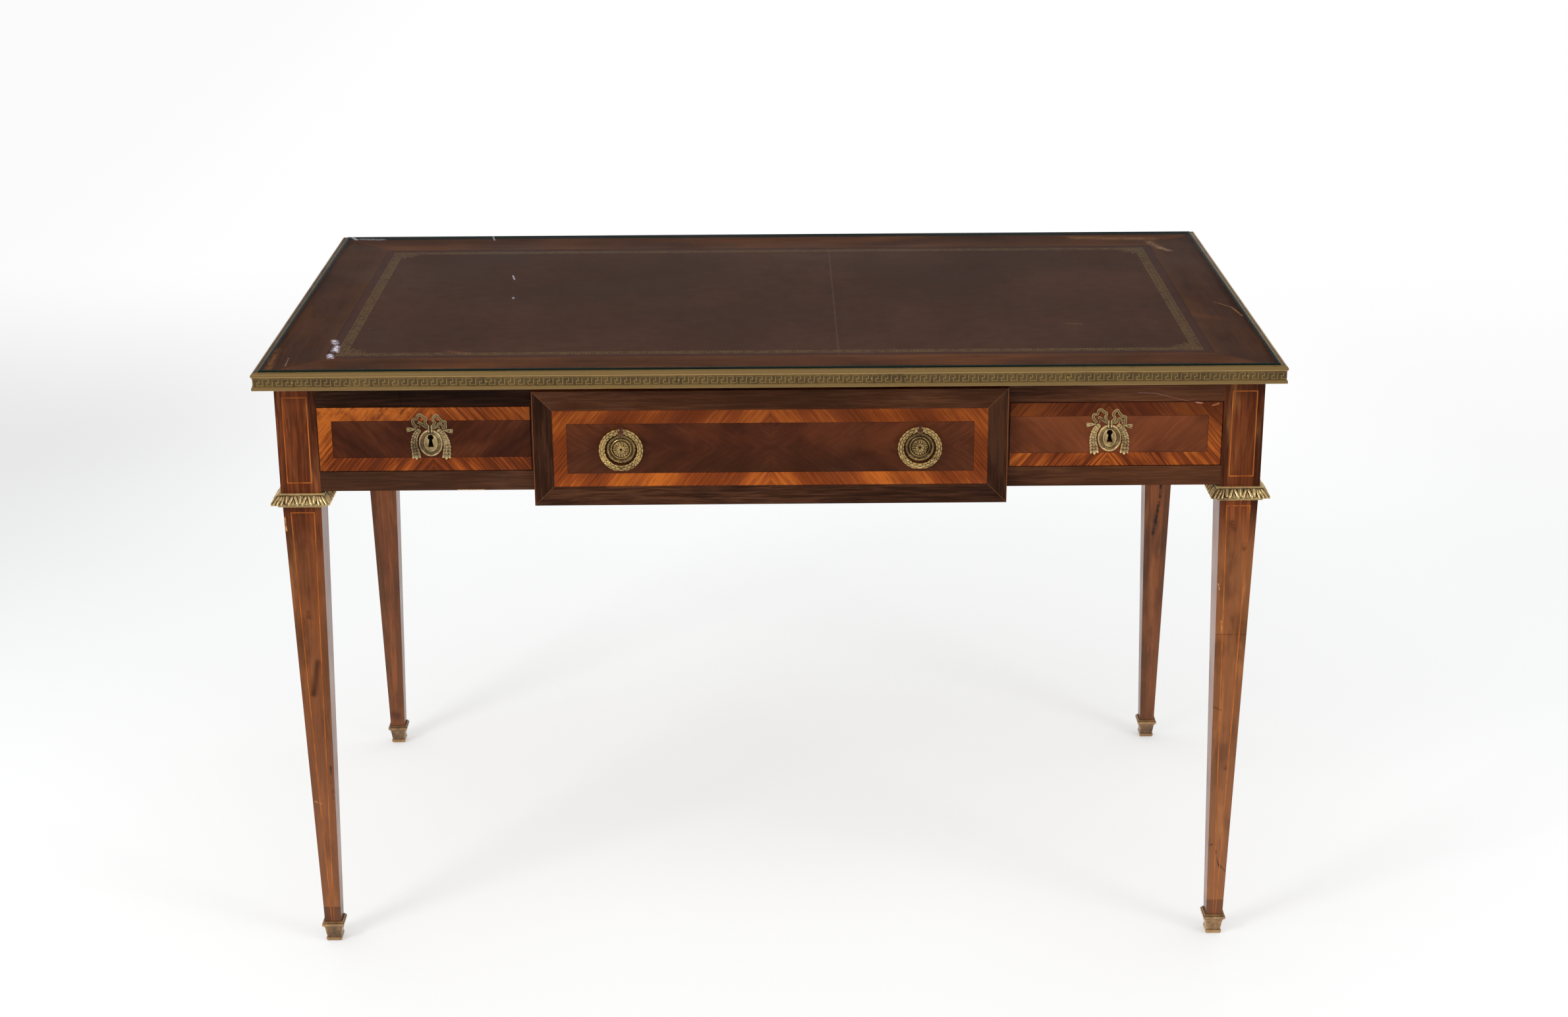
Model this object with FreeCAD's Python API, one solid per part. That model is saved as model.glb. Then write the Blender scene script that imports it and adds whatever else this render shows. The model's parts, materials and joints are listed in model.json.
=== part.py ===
"""Writing desk in the Louis XVI manner, in millimetres, +Z up, origin on the floor under its middle.

The front faces -Y and X runs along the width. A leather and glass top in a brass edge moulding rests on
a frieze with three drawers. Four square tapered legs carry brass collars and brass sabots.
"""
import FreeCAD, Part
import math
import os

Vector = FreeCAD.Vector
os.makedirs("parts", exist_ok=True)

# Overall sizes
desk_height = 765.0
top_width = 1216.0
top_depth = 706.0
top_overhang = 22.0

# Build-up of the top
panel_thickness = 15.0
border_thickness = 2.5
leather_thickness = 2.2
glass_thickness = 4.0
glass_gap = 0.5
leather_inset = 75.0

# Brass edge moulding
moulding_reach = 7.5
moulding_wall = 3.5
rim_proud = 0.5
bead_height = 6.2
band_recess = 2.0
lower_lip_height = 4.4
lower_lip_setback = 0.3
pin_head_radius = 1.6
pin_head_height = 0.9
pin_shank_radius = 0.7
pin_length = 12.0
front_pin_shares = (-0.92, -0.546, -0.176, 0.196, 0.574, 0.922)
side_pin_shares = (-0.84, 0.0, 0.84)

# Legs
stile_size = 48.0
leg_top_size = 46.5
leg_foot_size = 20.6
peg_size = 12.0
peg_end = 4.0

# Stringing let into the legs
string_width = 1.2
string_depth = 0.8
string_inset = 8.2
stile_string_inner_inset = 9.8
stile_string_top_drop = 15.0
stile_string_bottom_rise = 10.0
leg_string_drop = 8.0

# Brass collars, as squares at levels above the lower edge of each
collar_height = 16.3
collar_neck_size = 54.8
collar_reach_size = 71.0
collar_seat_drop = 8.0
collar_level_shares = ((0.0, 0.03), (0.17, 0.03), (0.225, 0.0), (0.25, 1.0), (0.31, 1.0), (0.45, 0.72),
                       (0.62, 0.4), (0.8, 0.14), (0.9, 0.03), (0.92, 0.0), (1.0, 0.0))

# Brass sabots, as squares at levels above the floor
sabot_height = 28.0
sabot_base_size = 17.2
sabot_lip_size = 27.8
sabot_level_shares = ((0.0, 0.0), (0.05, 0.0), (0.1, 0.28), (0.19, 0.28), (0.22, 0.09), (0.68, 0.43),
                      (0.72, 0.5), (0.78, 0.68), (0.79, 1.0), (0.92, 1.0), (0.93, 0.8), (1.0, 0.74))

# Frieze
frieze_height = 132.0
apron_thickness = 22.0
top_rail_height = 27.5
lower_rail_height = 24.0
rail_depth = 40.0
divider_thickness = 21.0
tenon_thickness = 8.0
tenon_length = 18.0
tenon_shoulder = 12.0
rail_tenon_width = 20.0
rail_tenon_shoulder = 5.0

# Strips that carry and guide the drawers
runner_width = 20.0
runner_height = 16.0
kicker_height = 16.0
glue_block_size = 18.0
glue_block_length = 60.0
stop_width = 30.0
stop_depth = 14.0
stop_height = 5.0
stop_inset = 55.0

# Screws that hold the top
screw_radius = 2.0
screw_head_radius = 4.0
screw_head_height = 3.0
screw_bite = 10.0
screw_recess_depth = 8.0
front_screw_place = 120.0

# Running clearances
side_gap = 0.8
seat_gap = 0.3
stop_gap = 0.3

# Drawers
drawer_back_gap = 80.0
drawer_front_thickness = 20.0
drawer_board = 10.0
drawer_bottom_thickness = 6.0
drawer_bottom_rise = 8.0
groove_depth = 5.0
drawer_side_drop = 1.2
drawer_back_drop = 4.0
tail_count = 3
tail_length = 13.0
tail_neck = 11.0
tail_flare = 3.0
veneer = 1.0
banding_width = 16.5

# Centre drawer, whose front laps over the rails and hangs below them
centre_front_width = 563.0
centre_front_proud = 11.2
centre_front_hang = 16.5
centre_front_top_drop = 7.0
centre_border_width = 23.5
centre_plug_thickness = 12.0

# Ring pulls
pull_inset = 104.5
ring_radius = 22.7
ring_wire_radius = 3.3
ring_standoff = 5.4
eye_radius = 5.4
eye_width = 6.8
eye_bore_gap = 0.35
eye_foot_height = 7.0
eye_stud_radius = 2.0
eye_tail_width = 3.0
eye_tail_thickness = 1.2
eye_tail_reach = 9.0
rosette_radius = 17.1
rosette_height = 5.5
rosette_nail_radius = 1.2
rosette_nail_length = 14.0
rosette_profile_shares = ((1.0, 0.0), (1.0, 0.3), (0.97, 0.5), (0.925, 0.56), (0.88, 0.5), (0.85, 0.34),
                          (0.77, 0.26), (0.68, 0.42), (0.64, 0.42), (0.6, 0.3), (0.575, 0.44),
                          (0.5, 0.68), (0.38, 0.86), (0.2, 0.97), (0.0, 1.0))

# Locks and escutcheons, placed from the middle of the keyhole's round part. The keyhole lies a little
# nearer the centre drawer than the middle of the side drawer does.
key_offset = 7.45
key_rise = 42.8
key_radius = 3.6
key_slot_width = 4.2
key_slot_flare = 7.2
key_slot_drop = 12.2
key_wood_gap = 0.6
escutcheon_thickness = 1.6
escutcheon_oval_width = 29.0
escutcheon_oval_height = 33.4
escutcheon_oval_drop = 5.5
escutcheon_rim_width = 3.6
escutcheon_rim_height = 1.3
escutcheon_inner_width = 18.0
escutcheon_inner_height = 22.0
bow_loop_radius = 5.9
bow_wire = 3.0
bow_loop_reach = 9.8
bow_loop_rise = 23.6
knot_width = 7.0
knot_height = 10.0
knot_rise = 12.6
knot_thickness = 3.2
stud_radius = 1.9
stud_reach = 11.4
stud_rise = 15.0
tassel_length = 15.0
tassel_width = 5.6
tassel_reach = 20.9
tassel_rise = 9.6
tassel_tilt = 12.0
garland_length = 31.0
garland_width = 6.4
garland_reach = 15.4
garland_rise = 1.8
garland_tilt = 68.0
garland_end_length = 20.0
garland_end_width = 8.4
garland_end_reach = 19.0
garland_end_rise = -13.5
garland_end_tilt = 88.0
lock_width = 50.0
lock_height = 58.0
lock_depth = 9.0
lock_wall = 1.5
bolt_width = 20.0
bolt_thickness = 5.0
bolt_height = 26.0
bolt_top_drop = 0.4
bolt_gap = 0.3
bolt_throw = 7.0
mortise_gap = 1.0
key_pin_radius = 1.2

# Levels and planes that several pieces share
top_build = panel_thickness + border_thickness + glass_thickness + rim_proud
underside = desk_height - top_build
border_bottom = underside + panel_thickness
glass_bottom = border_bottom + border_thickness
frieze_half = top_width / 2 - top_overhang
front_half = top_depth / 2 - top_overhang
frieze_bottom = underside - frieze_height
top_rail_bottom = underside - top_rail_height
lower_rail_top = frieze_bottom + lower_rail_height
stile_inner = frieze_half - stile_size
stile_back = front_half - stile_size
apron_inner_x = frieze_half - apron_thickness
apron_inner_y = front_half - apron_thickness
rail_back = -front_half + rail_depth
leg_x = frieze_half - stile_size / 2
leg_y = front_half - stile_size / 2
collar_top = frieze_bottom - (collar_neck_size - stile_size) / 2 + side_gap
collar_bottom = collar_top - collar_height
leg_shoulder = collar_bottom + collar_seat_drop
divider_outer = centre_front_width / 2 + side_gap * 3
divider_inner = divider_outer - divider_thickness
side_middle = (divider_outer + stile_inner) / 2
key_place = side_middle - key_offset
pull_place = centre_front_width / 2 - pull_inset


def box(x0, x1, y0, y1, z0, z1):
    """A block between two corners."""
    return Part.makeBox(x1 - x0, y1 - y0, z1 - z0, Vector(x0, y0, z0))


def flat_face(points):
    """A flat face inside a closed outline of points."""
    return Part.Face(Part.makePolygon(list(points) + [points[0]]))


def prism(points, push):
    """A closed outline of 3-D points pushed along a vector."""
    return flat_face(points).extrude(push)


def rod(radius, length, base, direction):
    """A round rod."""
    return Part.makeCylinder(radius, length, base, direction)


def mirror_x(shape):
    """The same piece on the other side of the desk's middle."""
    return shape.mirror(Vector(0, 0, 0), Vector(1, 0, 0))


def mirror_y(shape):
    """The same piece at the other long side of the desk."""
    return shape.mirror(Vector(0, 0, 0), Vector(0, 1, 0))


def fuse(shapes):
    """One solid from overlapping shapes."""
    result = shapes[0]
    for shape in shapes[1:]:
        result = result.fuse(shape)
    return result.removeSplitter()


def cut(shape, tools):
    """A shape with others taken away."""
    for tool in tools:
        shape = shape.cut(tool)
    return shape


def save(node, *solids):
    """Write a node as one STEP file of its separate solids."""
    pieces = [solid for shape in solids for solid in shape.Solids]
    Part.makeCompound(pieces).exportStep("parts/" + node + ".step")


def skin(rings):
    """A solid with flat faces from each ring of points to the next, closed at both ends."""
    faces = [flat_face(rings[0]), flat_face(rings[-1])]
    for low, high in zip(rings, rings[1:]):
        for i in range(len(low)):
            j = (i + 1) % len(low)
            faces.append(flat_face([low[i], low[j], high[j], high[i]]))
    solid = Part.Solid(Part.Shell(faces))
    if solid.Volume < 0:
        solid.reverse()
    return solid


def square_tower(levels, centre_x, centre_y):
    """Squares of a given size at rising levels, joined by flat faces."""
    rings = []
    for level, size in levels:
        half = size / 2
        rings.append([Vector(centre_x - half, centre_y - half, level),
                      Vector(centre_x + half, centre_y - half, level),
                      Vector(centre_x + half, centre_y + half, level),
                      Vector(centre_x - half, centre_y + half, level)])
    return skin(rings)


def mitred_bars(outline, half_width, half_depth):
    """Four mitred bars round a rectangle: front, right, back, left. The outline is (inset, level)."""
    corners = [(-1, -1), (1, -1), (1, 1), (-1, 1)]
    rings = [[Vector(sign_x * (half_width - inset), sign_y * (half_depth - inset), level)
              for inset, level in outline] for sign_x, sign_y in corners]
    return [skin([rings[i], rings[(i + 1) % len(rings)]]) for i in range(len(rings))]


def stand_up(shape, centre_x, face_y, centre_z):
    """Turn a piece that lies flat so that its top faces the front, and put it at its place."""
    placed = shape.copy()
    placed.rotate(Vector(0, 0, 0), Vector(1, 0, 0), 90)
    placed.translate(Vector(centre_x, face_y, centre_z))
    return placed


# The top

def moulding_outline():
    """Section of the brass edge: L-shaped, with a bead, a recessed band and a lower lip."""
    bead = bead_height / 2
    bead_centre = desk_height - bead
    start = -math.acos((bead - band_recess) / bead)
    steps = 4
    turns = [start * (1 - i / steps) for i in range(steps)]
    turns += [math.pi / 2 * i / steps for i in range(steps + 1)]
    arc = [(bead - bead * math.cos(turn), bead_centre + bead * math.sin(turn)) for turn in turns]
    lip_top = underside + lower_lip_height
    return ([(moulding_wall, underside), (lower_lip_setback, underside), (lower_lip_setback, lip_top),
             (band_recess, lip_top)] + arc
            + [(moulding_reach, desk_height), (moulding_reach, glass_bottom), (moulding_wall, glass_bottom)])


def moulding_pin(face_point, inward):
    """A round-headed brass pin, with its head on the band and its shank driven inwards."""
    shank = rod(pin_shank_radius, pin_length, face_point, inward)
    head = Part.makeCone(pin_head_radius, pin_shank_radius, pin_head_height, face_point, inward * -1)
    return fuse([shank, head])


def moulding_pins():
    """Pins along the front, the back and both sides."""
    band_level = underside + lower_lip_height + (top_build - lower_lip_height - bead_height) / 2
    half_x = top_width / 2 - band_recess
    half_y = top_depth / 2 - band_recess
    pins = []
    for share in front_pin_shares:
        pins.append(moulding_pin(Vector(share * half_x, -half_y, band_level), Vector(0, 1, 0)))
        pins.append(moulding_pin(Vector(-share * half_x, half_y, band_level), Vector(0, -1, 0)))
    for share in side_pin_shares:
        pins.append(moulding_pin(Vector(-half_x, share * half_y, band_level), Vector(1, 0, 0)))
        pins.append(moulding_pin(Vector(half_x, share * half_y, band_level), Vector(-1, 0, 0)))
    return pins


def top_screw(x, y, seat, recess):
    """A screw driven up into the panel, and the hole with its recess below the head."""
    shank = rod(screw_radius, underside + screw_bite - seat, Vector(x, y, seat), Vector(0, 0, 1))
    head = rod(screw_head_radius, screw_head_height, Vector(x, y, seat - screw_head_height), Vector(0, 0, 1))
    screw = fuse([shank, head])
    well = rod(screw_head_radius, recess, Vector(x, y, seat - recess), Vector(0, 0, 1))
    return screw, fuse([shank, well])


def glue_blocks():
    """Blocks rubbed into the corner between the back apron and the panel."""
    half = glue_block_length / 2
    return [box(x - half, x + half, apron_inner_y - glue_block_size, apron_inner_y,
                underside - glue_block_size, underside)
            for x in (-side_middle, 0, side_middle)]


def drawer_stops():
    """Small blocks on the lower rail that stop each side drawer when its front is flush."""
    stops = []
    front = -front_half + drawer_front_thickness + stop_gap
    outer = stile_inner - stop_inset
    inner = centre_front_width / 2 + stop_inset
    for middle in (outer, inner):
        stop = box(middle - stop_width / 2, middle + stop_width / 2, front, front + stop_depth,
                   lower_rail_top, lower_rail_top + stop_height)
        stops += [stop, mirror_x(stop)]
    return stops


bars = mitred_bars(moulding_outline(), top_width / 2, top_depth / 2)
pins = moulding_pins()
board_half_x = top_width / 2 - moulding_wall
board_half_y = top_depth / 2 - moulding_wall
border_width = leather_inset - moulding_wall
border_outline = [(0, border_bottom), (0, glass_bottom), (border_width, glass_bottom),
                  (border_width, border_bottom)]
leather_half_x = top_width / 2 - leather_inset
leather_half_y = top_depth / 2 - leather_inset
glass_half_x = top_width / 2 - moulding_reach - glass_gap
glass_half_y = top_depth / 2 - moulding_reach - glass_gap

panel = box(-board_half_x, board_half_x, -board_half_y, board_half_y, underside, border_bottom)
blocks = glue_blocks()
rail_screw_y = -front_half + rail_depth / 2
rail_screw_seat = top_rail_bottom + screw_recess_depth
block_screw_y = apron_inner_y - glue_block_size / 2
block_screw_seat = underside - glue_block_size + screw_head_height
screws = []
screw_holes = []
for place in (front_screw_place, (divider_outer + key_place) / 2):
    for x in (-place, place):
        screw, hole = top_screw(x, rail_screw_y, rail_screw_seat, screw_recess_depth)
        screws.append(screw)
        screw_holes.append(hole)
for x in (-side_middle, 0, side_middle):
    screw, hole = top_screw(x, block_screw_y, block_screw_seat, screw_head_height)
    screws.append(screw)
    screw_holes.append(hole)

for name, bar in zip(("front", "right", "back", "left"), bars):
    save("edge_moulding_" + name, cut(bar, pins))
save("moulding_pins", *pins)
save("top_panel", cut(cut(panel, pins), screw_holes))
boards = mitred_bars(border_outline, board_half_x, board_half_y)
save("top_border_front", boards[0])
save("top_border_back", boards[2])
save("top_border_sides", boards[1], boards[3])
save("leather_inset", box(-leather_half_x, leather_half_x, -leather_half_y, leather_half_y,
                          border_bottom, border_bottom + leather_thickness))
save("glass_sheet", box(-glass_half_x, glass_half_x, -glass_half_y, glass_half_y,
                        glass_bottom, glass_bottom + glass_thickness))
save("top_screws", *screws)
save("glue_blocks", *[cut(block, screw_holes) for block in blocks], *drawer_stops())


# Rails and aprons, with the tenons that enter the legs

def side_apron():
    """Left side apron with a tenon at each end."""
    board = box(-frieze_half, -apron_inner_x, -stile_back, stile_back, frieze_bottom, underside)
    middle = -frieze_half + apron_thickness / 2
    tenons = box(middle - tenon_thickness / 2, middle + tenon_thickness / 2,
                 -stile_back - tenon_length, stile_back + tenon_length,
                 frieze_bottom + tenon_shoulder, underside - tenon_shoulder)
    return fuse([board, tenons])


def back_apron():
    """Back apron with a tenon at each end."""
    board = box(-stile_inner, stile_inner, apron_inner_y, front_half, frieze_bottom, underside)
    middle = front_half - apron_thickness / 2
    tenons = box(-stile_inner - tenon_length, stile_inner + tenon_length,
                 middle - tenon_thickness / 2, middle + tenon_thickness / 2,
                 frieze_bottom + tenon_shoulder, underside - tenon_shoulder)
    return fuse([board, tenons])


def front_rail(bottom, top):
    """A rail across the front with a tenon at each end."""
    board = box(-stile_inner, stile_inner, -front_half, rail_back, bottom, top)
    middle = -front_half + rail_depth / 2
    tenons = box(-stile_inner - tenon_length, stile_inner + tenon_length,
                 middle - rail_tenon_width / 2, middle + rail_tenon_width / 2,
                 bottom + rail_tenon_shoulder, top - rail_tenon_shoulder)
    return fuse([board, tenons])


left_apron = side_apron()
rear_apron = back_apron()
top_rail = front_rail(top_rail_bottom, underside)
lower_rail = front_rail(frieze_bottom, lower_rail_top)

drawer_front_top = top_rail_bottom - side_gap
lock_back = -front_half + drawer_front_thickness
bolt_middle_y = lock_back - lock_depth / 2
bolt_top = drawer_front_top - bolt_top_drop
strike = box(key_place - bolt_width / 2 - mortise_gap, key_place + bolt_width / 2 + mortise_gap,
             bolt_middle_y - bolt_thickness / 2 - mortise_gap, bolt_middle_y + bolt_thickness / 2 + mortise_gap,
             top_rail_bottom, bolt_top + bolt_throw + mortise_gap)

save("side_apron_left", left_apron)
save("side_apron_right", mirror_x(left_apron))
save("back_apron", rear_apron)
save("front_top_rail", cut(top_rail, screw_holes + [strike, mirror_x(strike)]))
save("front_lower_rail", lower_rail)

divider = box(-divider_outer, -divider_inner, -front_half, apron_inner_y, frieze_bottom, underside)
divider = cut(divider, [top_rail, lower_rail])
save("drawer_dividers", divider, mirror_x(divider))


def bearer_strips(bottom, top):
    """Strips beside each drawer compartment's two sides, from the rails to the back apron."""
    spans = ((divider_outer, divider_outer + runner_width), (stile_inner - runner_width, stile_inner),
             (divider_inner - runner_width, divider_inner))
    strips = [box(x0, x1, rail_back, apron_inner_y, bottom, top) for x0, x1 in spans]
    return strips + [mirror_x(strip) for strip in strips]


guide = box(stile_inner, apron_inner_x, -stile_back, stile_back, lower_rail_top - runner_height, underside)
save("drawer_runners_and_guides", *bearer_strips(lower_rail_top - runner_height, lower_rail_top),
     guide, mirror_x(guide))
save("drawer_kickers", *bearer_strips(top_rail_bottom, top_rail_bottom + kicker_height))


# Legs, stringing, collars and sabots

def leg_half_at(level):
    """Half the tapered leg's size at a level."""
    share = (level - sabot_height) / (leg_shoulder - sabot_height)
    return (leg_foot_size + (leg_top_size - leg_foot_size) * share) / 2


def leg_blank():
    """Front left leg with its stile and the peg that enters the sabot."""
    stile = box(-leg_x - stile_size / 2, -leg_x + stile_size / 2, -leg_y - stile_size / 2,
                -leg_y + stile_size / 2, leg_shoulder, underside)
    taper = square_tower([(sabot_height, leg_foot_size), (leg_shoulder, leg_top_size)], -leg_x, -leg_y)
    peg = box(-leg_x - peg_size / 2, -leg_x + peg_size / 2, -leg_y - peg_size / 2, -leg_y + peg_size / 2,
              peg_end, sabot_height)
    return fuse([stile, taper, peg])


def leg_band(level0, level1, span):
    """A length of stringing in the front face between two levels. The span gives its two sides at a level."""
    rings = []
    for level in (level0, level1):
        half = leg_half_at(level)
        x0, x1 = span(half)
        rings.append([Vector(x0, -half, level), Vector(x1, -half, level),
                      Vector(x1, -half + string_depth, level), Vector(x0, -half + string_depth, level)])
    return skin(rings)


def leg_strings():
    """Stringing of one leg's front face, about the leg's own axis."""
    top = collar_bottom - leg_string_drop
    lines = [leg_band(top - string_width, top, lambda half: (-half + string_inset, half - string_inset)),
             leg_band(sabot_height, top - string_width,
                      lambda half: (-half + string_inset, -half + string_inset + string_width)),
             leg_band(sabot_height, top - string_width,
                      lambda half: (half - string_inset - string_width, half - string_inset))]
    half = stile_size / 2
    left = -half + string_inset
    right = half - stile_string_inner_inset
    high = underside - stile_string_top_drop
    low = frieze_bottom + stile_string_bottom_rise
    depth = -half + string_depth
    lines += [box(left, right, -half, depth, high - string_width, high),
              box(left, right, -half, depth, low, low + string_width),
              box(left, left + string_width, -half, depth, low + string_width, high - string_width),
              box(right - string_width, right, -half, depth, low + string_width, high - string_width)]
    return lines


def outer_strings():
    """Stringing of the front left leg's front and left faces, at its place."""
    placed = []
    for line in leg_strings():
        front = line.copy()
        side = line.mirror(Vector(0, 0, 0), Vector(1, -1, 0))
        for shape in (front, side):
            shape.translate(Vector(-leg_x, -leg_y, 0))
            placed.append(shape)
    return placed


blank = leg_blank()
strings = outer_strings()
strung = cut(blank, strings)
front_leg = cut(strung, [left_apron, top_rail, lower_rail])
back_leg = cut(mirror_y(strung), [left_apron, rear_apron])
save("leg_front_left", front_leg)
save("leg_front_right", mirror_x(front_leg))
save("leg_back_left", back_leg)
save("leg_back_right", mirror_x(back_leg))
back_strings = [mirror_y(line) for line in strings]
left_strings = strings + back_strings
save("stringing", *left_strings, *[mirror_x(line) for line in left_strings])


def levels_from(shares, bottom, height, small, large):
    """Turn shares of height and of reach into levels and sizes."""
    return [(bottom + height * rise, small + (large - small) * reach) for rise, reach in shares]


collar = square_tower(levels_from(collar_level_shares, collar_bottom, collar_height, collar_neck_size,
                                  collar_reach_size), -leg_x, -leg_y).cut(blank)
sabot = square_tower(levels_from(sabot_level_shares, 0, sabot_height, sabot_base_size, sabot_lip_size),
                     -leg_x, -leg_y).cut(blank)
for name, piece in (("collar", collar), ("sabot", sabot)):
    save(name + "_front_left", piece)
    save(name + "_front_right", mirror_x(piece))
    save(name + "_back_left", mirror_y(piece))
    save(name + "_back_right", mirror_x(mirror_y(piece)))


# Drawers

side_bottom = lower_rail_top + seat_gap
side_top = top_rail_bottom - drawer_side_drop
bottom_level = side_bottom + drawer_bottom_rise
drawer_rear = apron_inner_y - drawer_back_gap


def tails(x0, x1, shoulder):
    """Dovetails that run forward from a drawer side into the back of the front."""
    pitch = (side_top - side_bottom) / tail_count
    shapes = []
    for i in range(tail_count):
        middle = side_bottom + pitch * (i + 1 / 2)
        half = tail_neck / 2
        wide = half + tail_flare
        tip = shoulder - tail_length
        points = [Vector(x0, shoulder, middle - half), Vector(x0, tip, middle - wide),
                  Vector(x0, tip, middle + wide), Vector(x0, shoulder, middle + half)]
        shapes.append(prism(points, Vector(x1 - x0, 0, 0)))
    return shapes


def drawer_box(x0, x1, shoulder):
    """Sides, back and bottom of a drawer behind its front."""
    left = fuse([box(x0, x0 + drawer_board, shoulder, drawer_rear, side_bottom, side_top)]
                + tails(x0, x0 + drawer_board, shoulder))
    right = fuse([box(x1 - drawer_board, x1, shoulder, drawer_rear, side_bottom, side_top)]
                 + tails(x1 - drawer_board, x1, shoulder))
    inner0 = x0 + drawer_board
    inner1 = x1 - drawer_board
    bottom = box(inner0 - groove_depth, inner1 + groove_depth, shoulder - groove_depth, drawer_rear,
                 bottom_level, bottom_level + drawer_bottom_thickness)
    back = box(inner0, inner1, drawer_rear - drawer_board, drawer_rear,
               bottom_level + drawer_bottom_thickness, side_top - drawer_back_drop)
    return [left.cut(bottom), right.cut(bottom)], back, bottom


def veneer_frame(x0, x1, z0, z1, face, width):
    """Four mitred strips of veneer round a rectangle on a front."""
    outline = [(0, 0), (0, veneer), (width, veneer), (width, 0)]
    flat = mitred_bars(outline, (x1 - x0) / 2, (z1 - z0) / 2)
    return [stand_up(strip, (x0 + x1) / 2, face, (z0 + z1) / 2) for strip in flat]


def end_banding(x0, x1, z0, z1, face):
    """Banding of the right drawer's front: mitred strips above, below and at its outer end."""
    end = x1 - banding_width
    low = z0 + banding_width
    high = z1 - banding_width
    outlines = (((x0, z1), (x1, z1), (end, high), (x0, high)),
                ((x0, z0), (x1, z0), (end, low), (x0, low)),
                ((x1, z0), (x1, z1), (end, high), (end, low)))
    return [prism([Vector(x, face, z) for x, z in outline], Vector(0, -veneer, 0)) for outline in outlines]


def keyhole(gap, y0, y1):
    """A keyhole's round part and the flared slot below it, from one plane to another, on the right."""
    radius = key_radius + gap
    level = lower_rail_top + key_rise
    slot_bottom = level - key_slot_drop - gap
    top_half = key_slot_width / 2 + gap
    bottom_half = key_slot_flare / 2 + gap
    slot = prism([Vector(key_place - top_half, y0, level), Vector(key_place + top_half, y0, level),
                  Vector(key_place + bottom_half, y0, slot_bottom),
                  Vector(key_place - bottom_half, y0, slot_bottom)], Vector(0, y1 - y0, 0))
    return fuse([rod(radius, y1 - y0, Vector(key_place, y0, level), Vector(0, 1, 0)), slot])


def lock_pieces():
    """Right lock: its case, flush in the back of the front, and the bolt that rises out of it."""
    outer = box(key_place - lock_width / 2, key_place + lock_width / 2, lock_back - lock_depth, lock_back,
                drawer_front_top - lock_height, drawer_front_top)
    cavity = box(key_place - lock_width / 2 + lock_wall, key_place + lock_width / 2 - lock_wall,
                 lock_back - lock_depth + lock_wall, lock_back - lock_wall,
                 drawer_front_top - lock_height + lock_wall, drawer_front_top - lock_wall)
    bolt = box(key_place - bolt_width / 2, key_place + bolt_width / 2,
               bolt_middle_y - bolt_thickness / 2, bolt_middle_y + bolt_thickness / 2,
               bolt_top - bolt_height, bolt_top)
    slot = box(key_place - bolt_width / 2 - bolt_gap, key_place + bolt_width / 2 + bolt_gap,
               bolt_middle_y - bolt_thickness / 2 - bolt_gap, bolt_middle_y + bolt_thickness / 2 + bolt_gap,
               drawer_front_top - lock_wall, drawer_front_top)
    shelf_top = bolt_top - bolt_height - seat_gap
    shelf = box(key_place - lock_width / 2 + lock_wall, key_place + lock_width / 2 - lock_wall,
                lock_back - lock_depth + lock_wall, lock_back - lock_wall, shelf_top - lock_wall, shelf_top)
    key_pin = rod(key_pin_radius, lock_depth - lock_wall,
                  Vector(key_place, lock_back - lock_depth + lock_wall / 2, lower_rail_top + key_rise),
                  Vector(0, 1, 0))
    shell = cut(outer, [cavity, slot, keyhole(0, lock_back - lock_depth - lock_wall,
                                              lock_back - lock_depth + lock_wall)])
    return outer, fuse([shell, shelf, key_pin]), bolt


def oval(width, height, thickness, base):
    """A flat oval lying on a level."""
    big = max(width, height) / 2
    small = min(width, height) / 2
    shape = Part.Face(Part.Wire(Part.Ellipse(Vector(0, 0, base), big, small).toShape()))
    if height > width:
        shape.rotate(Vector(0, 0, 0), Vector(0, 0, 1), 90)
    return shape.extrude(Vector(0, 0, thickness))


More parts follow.
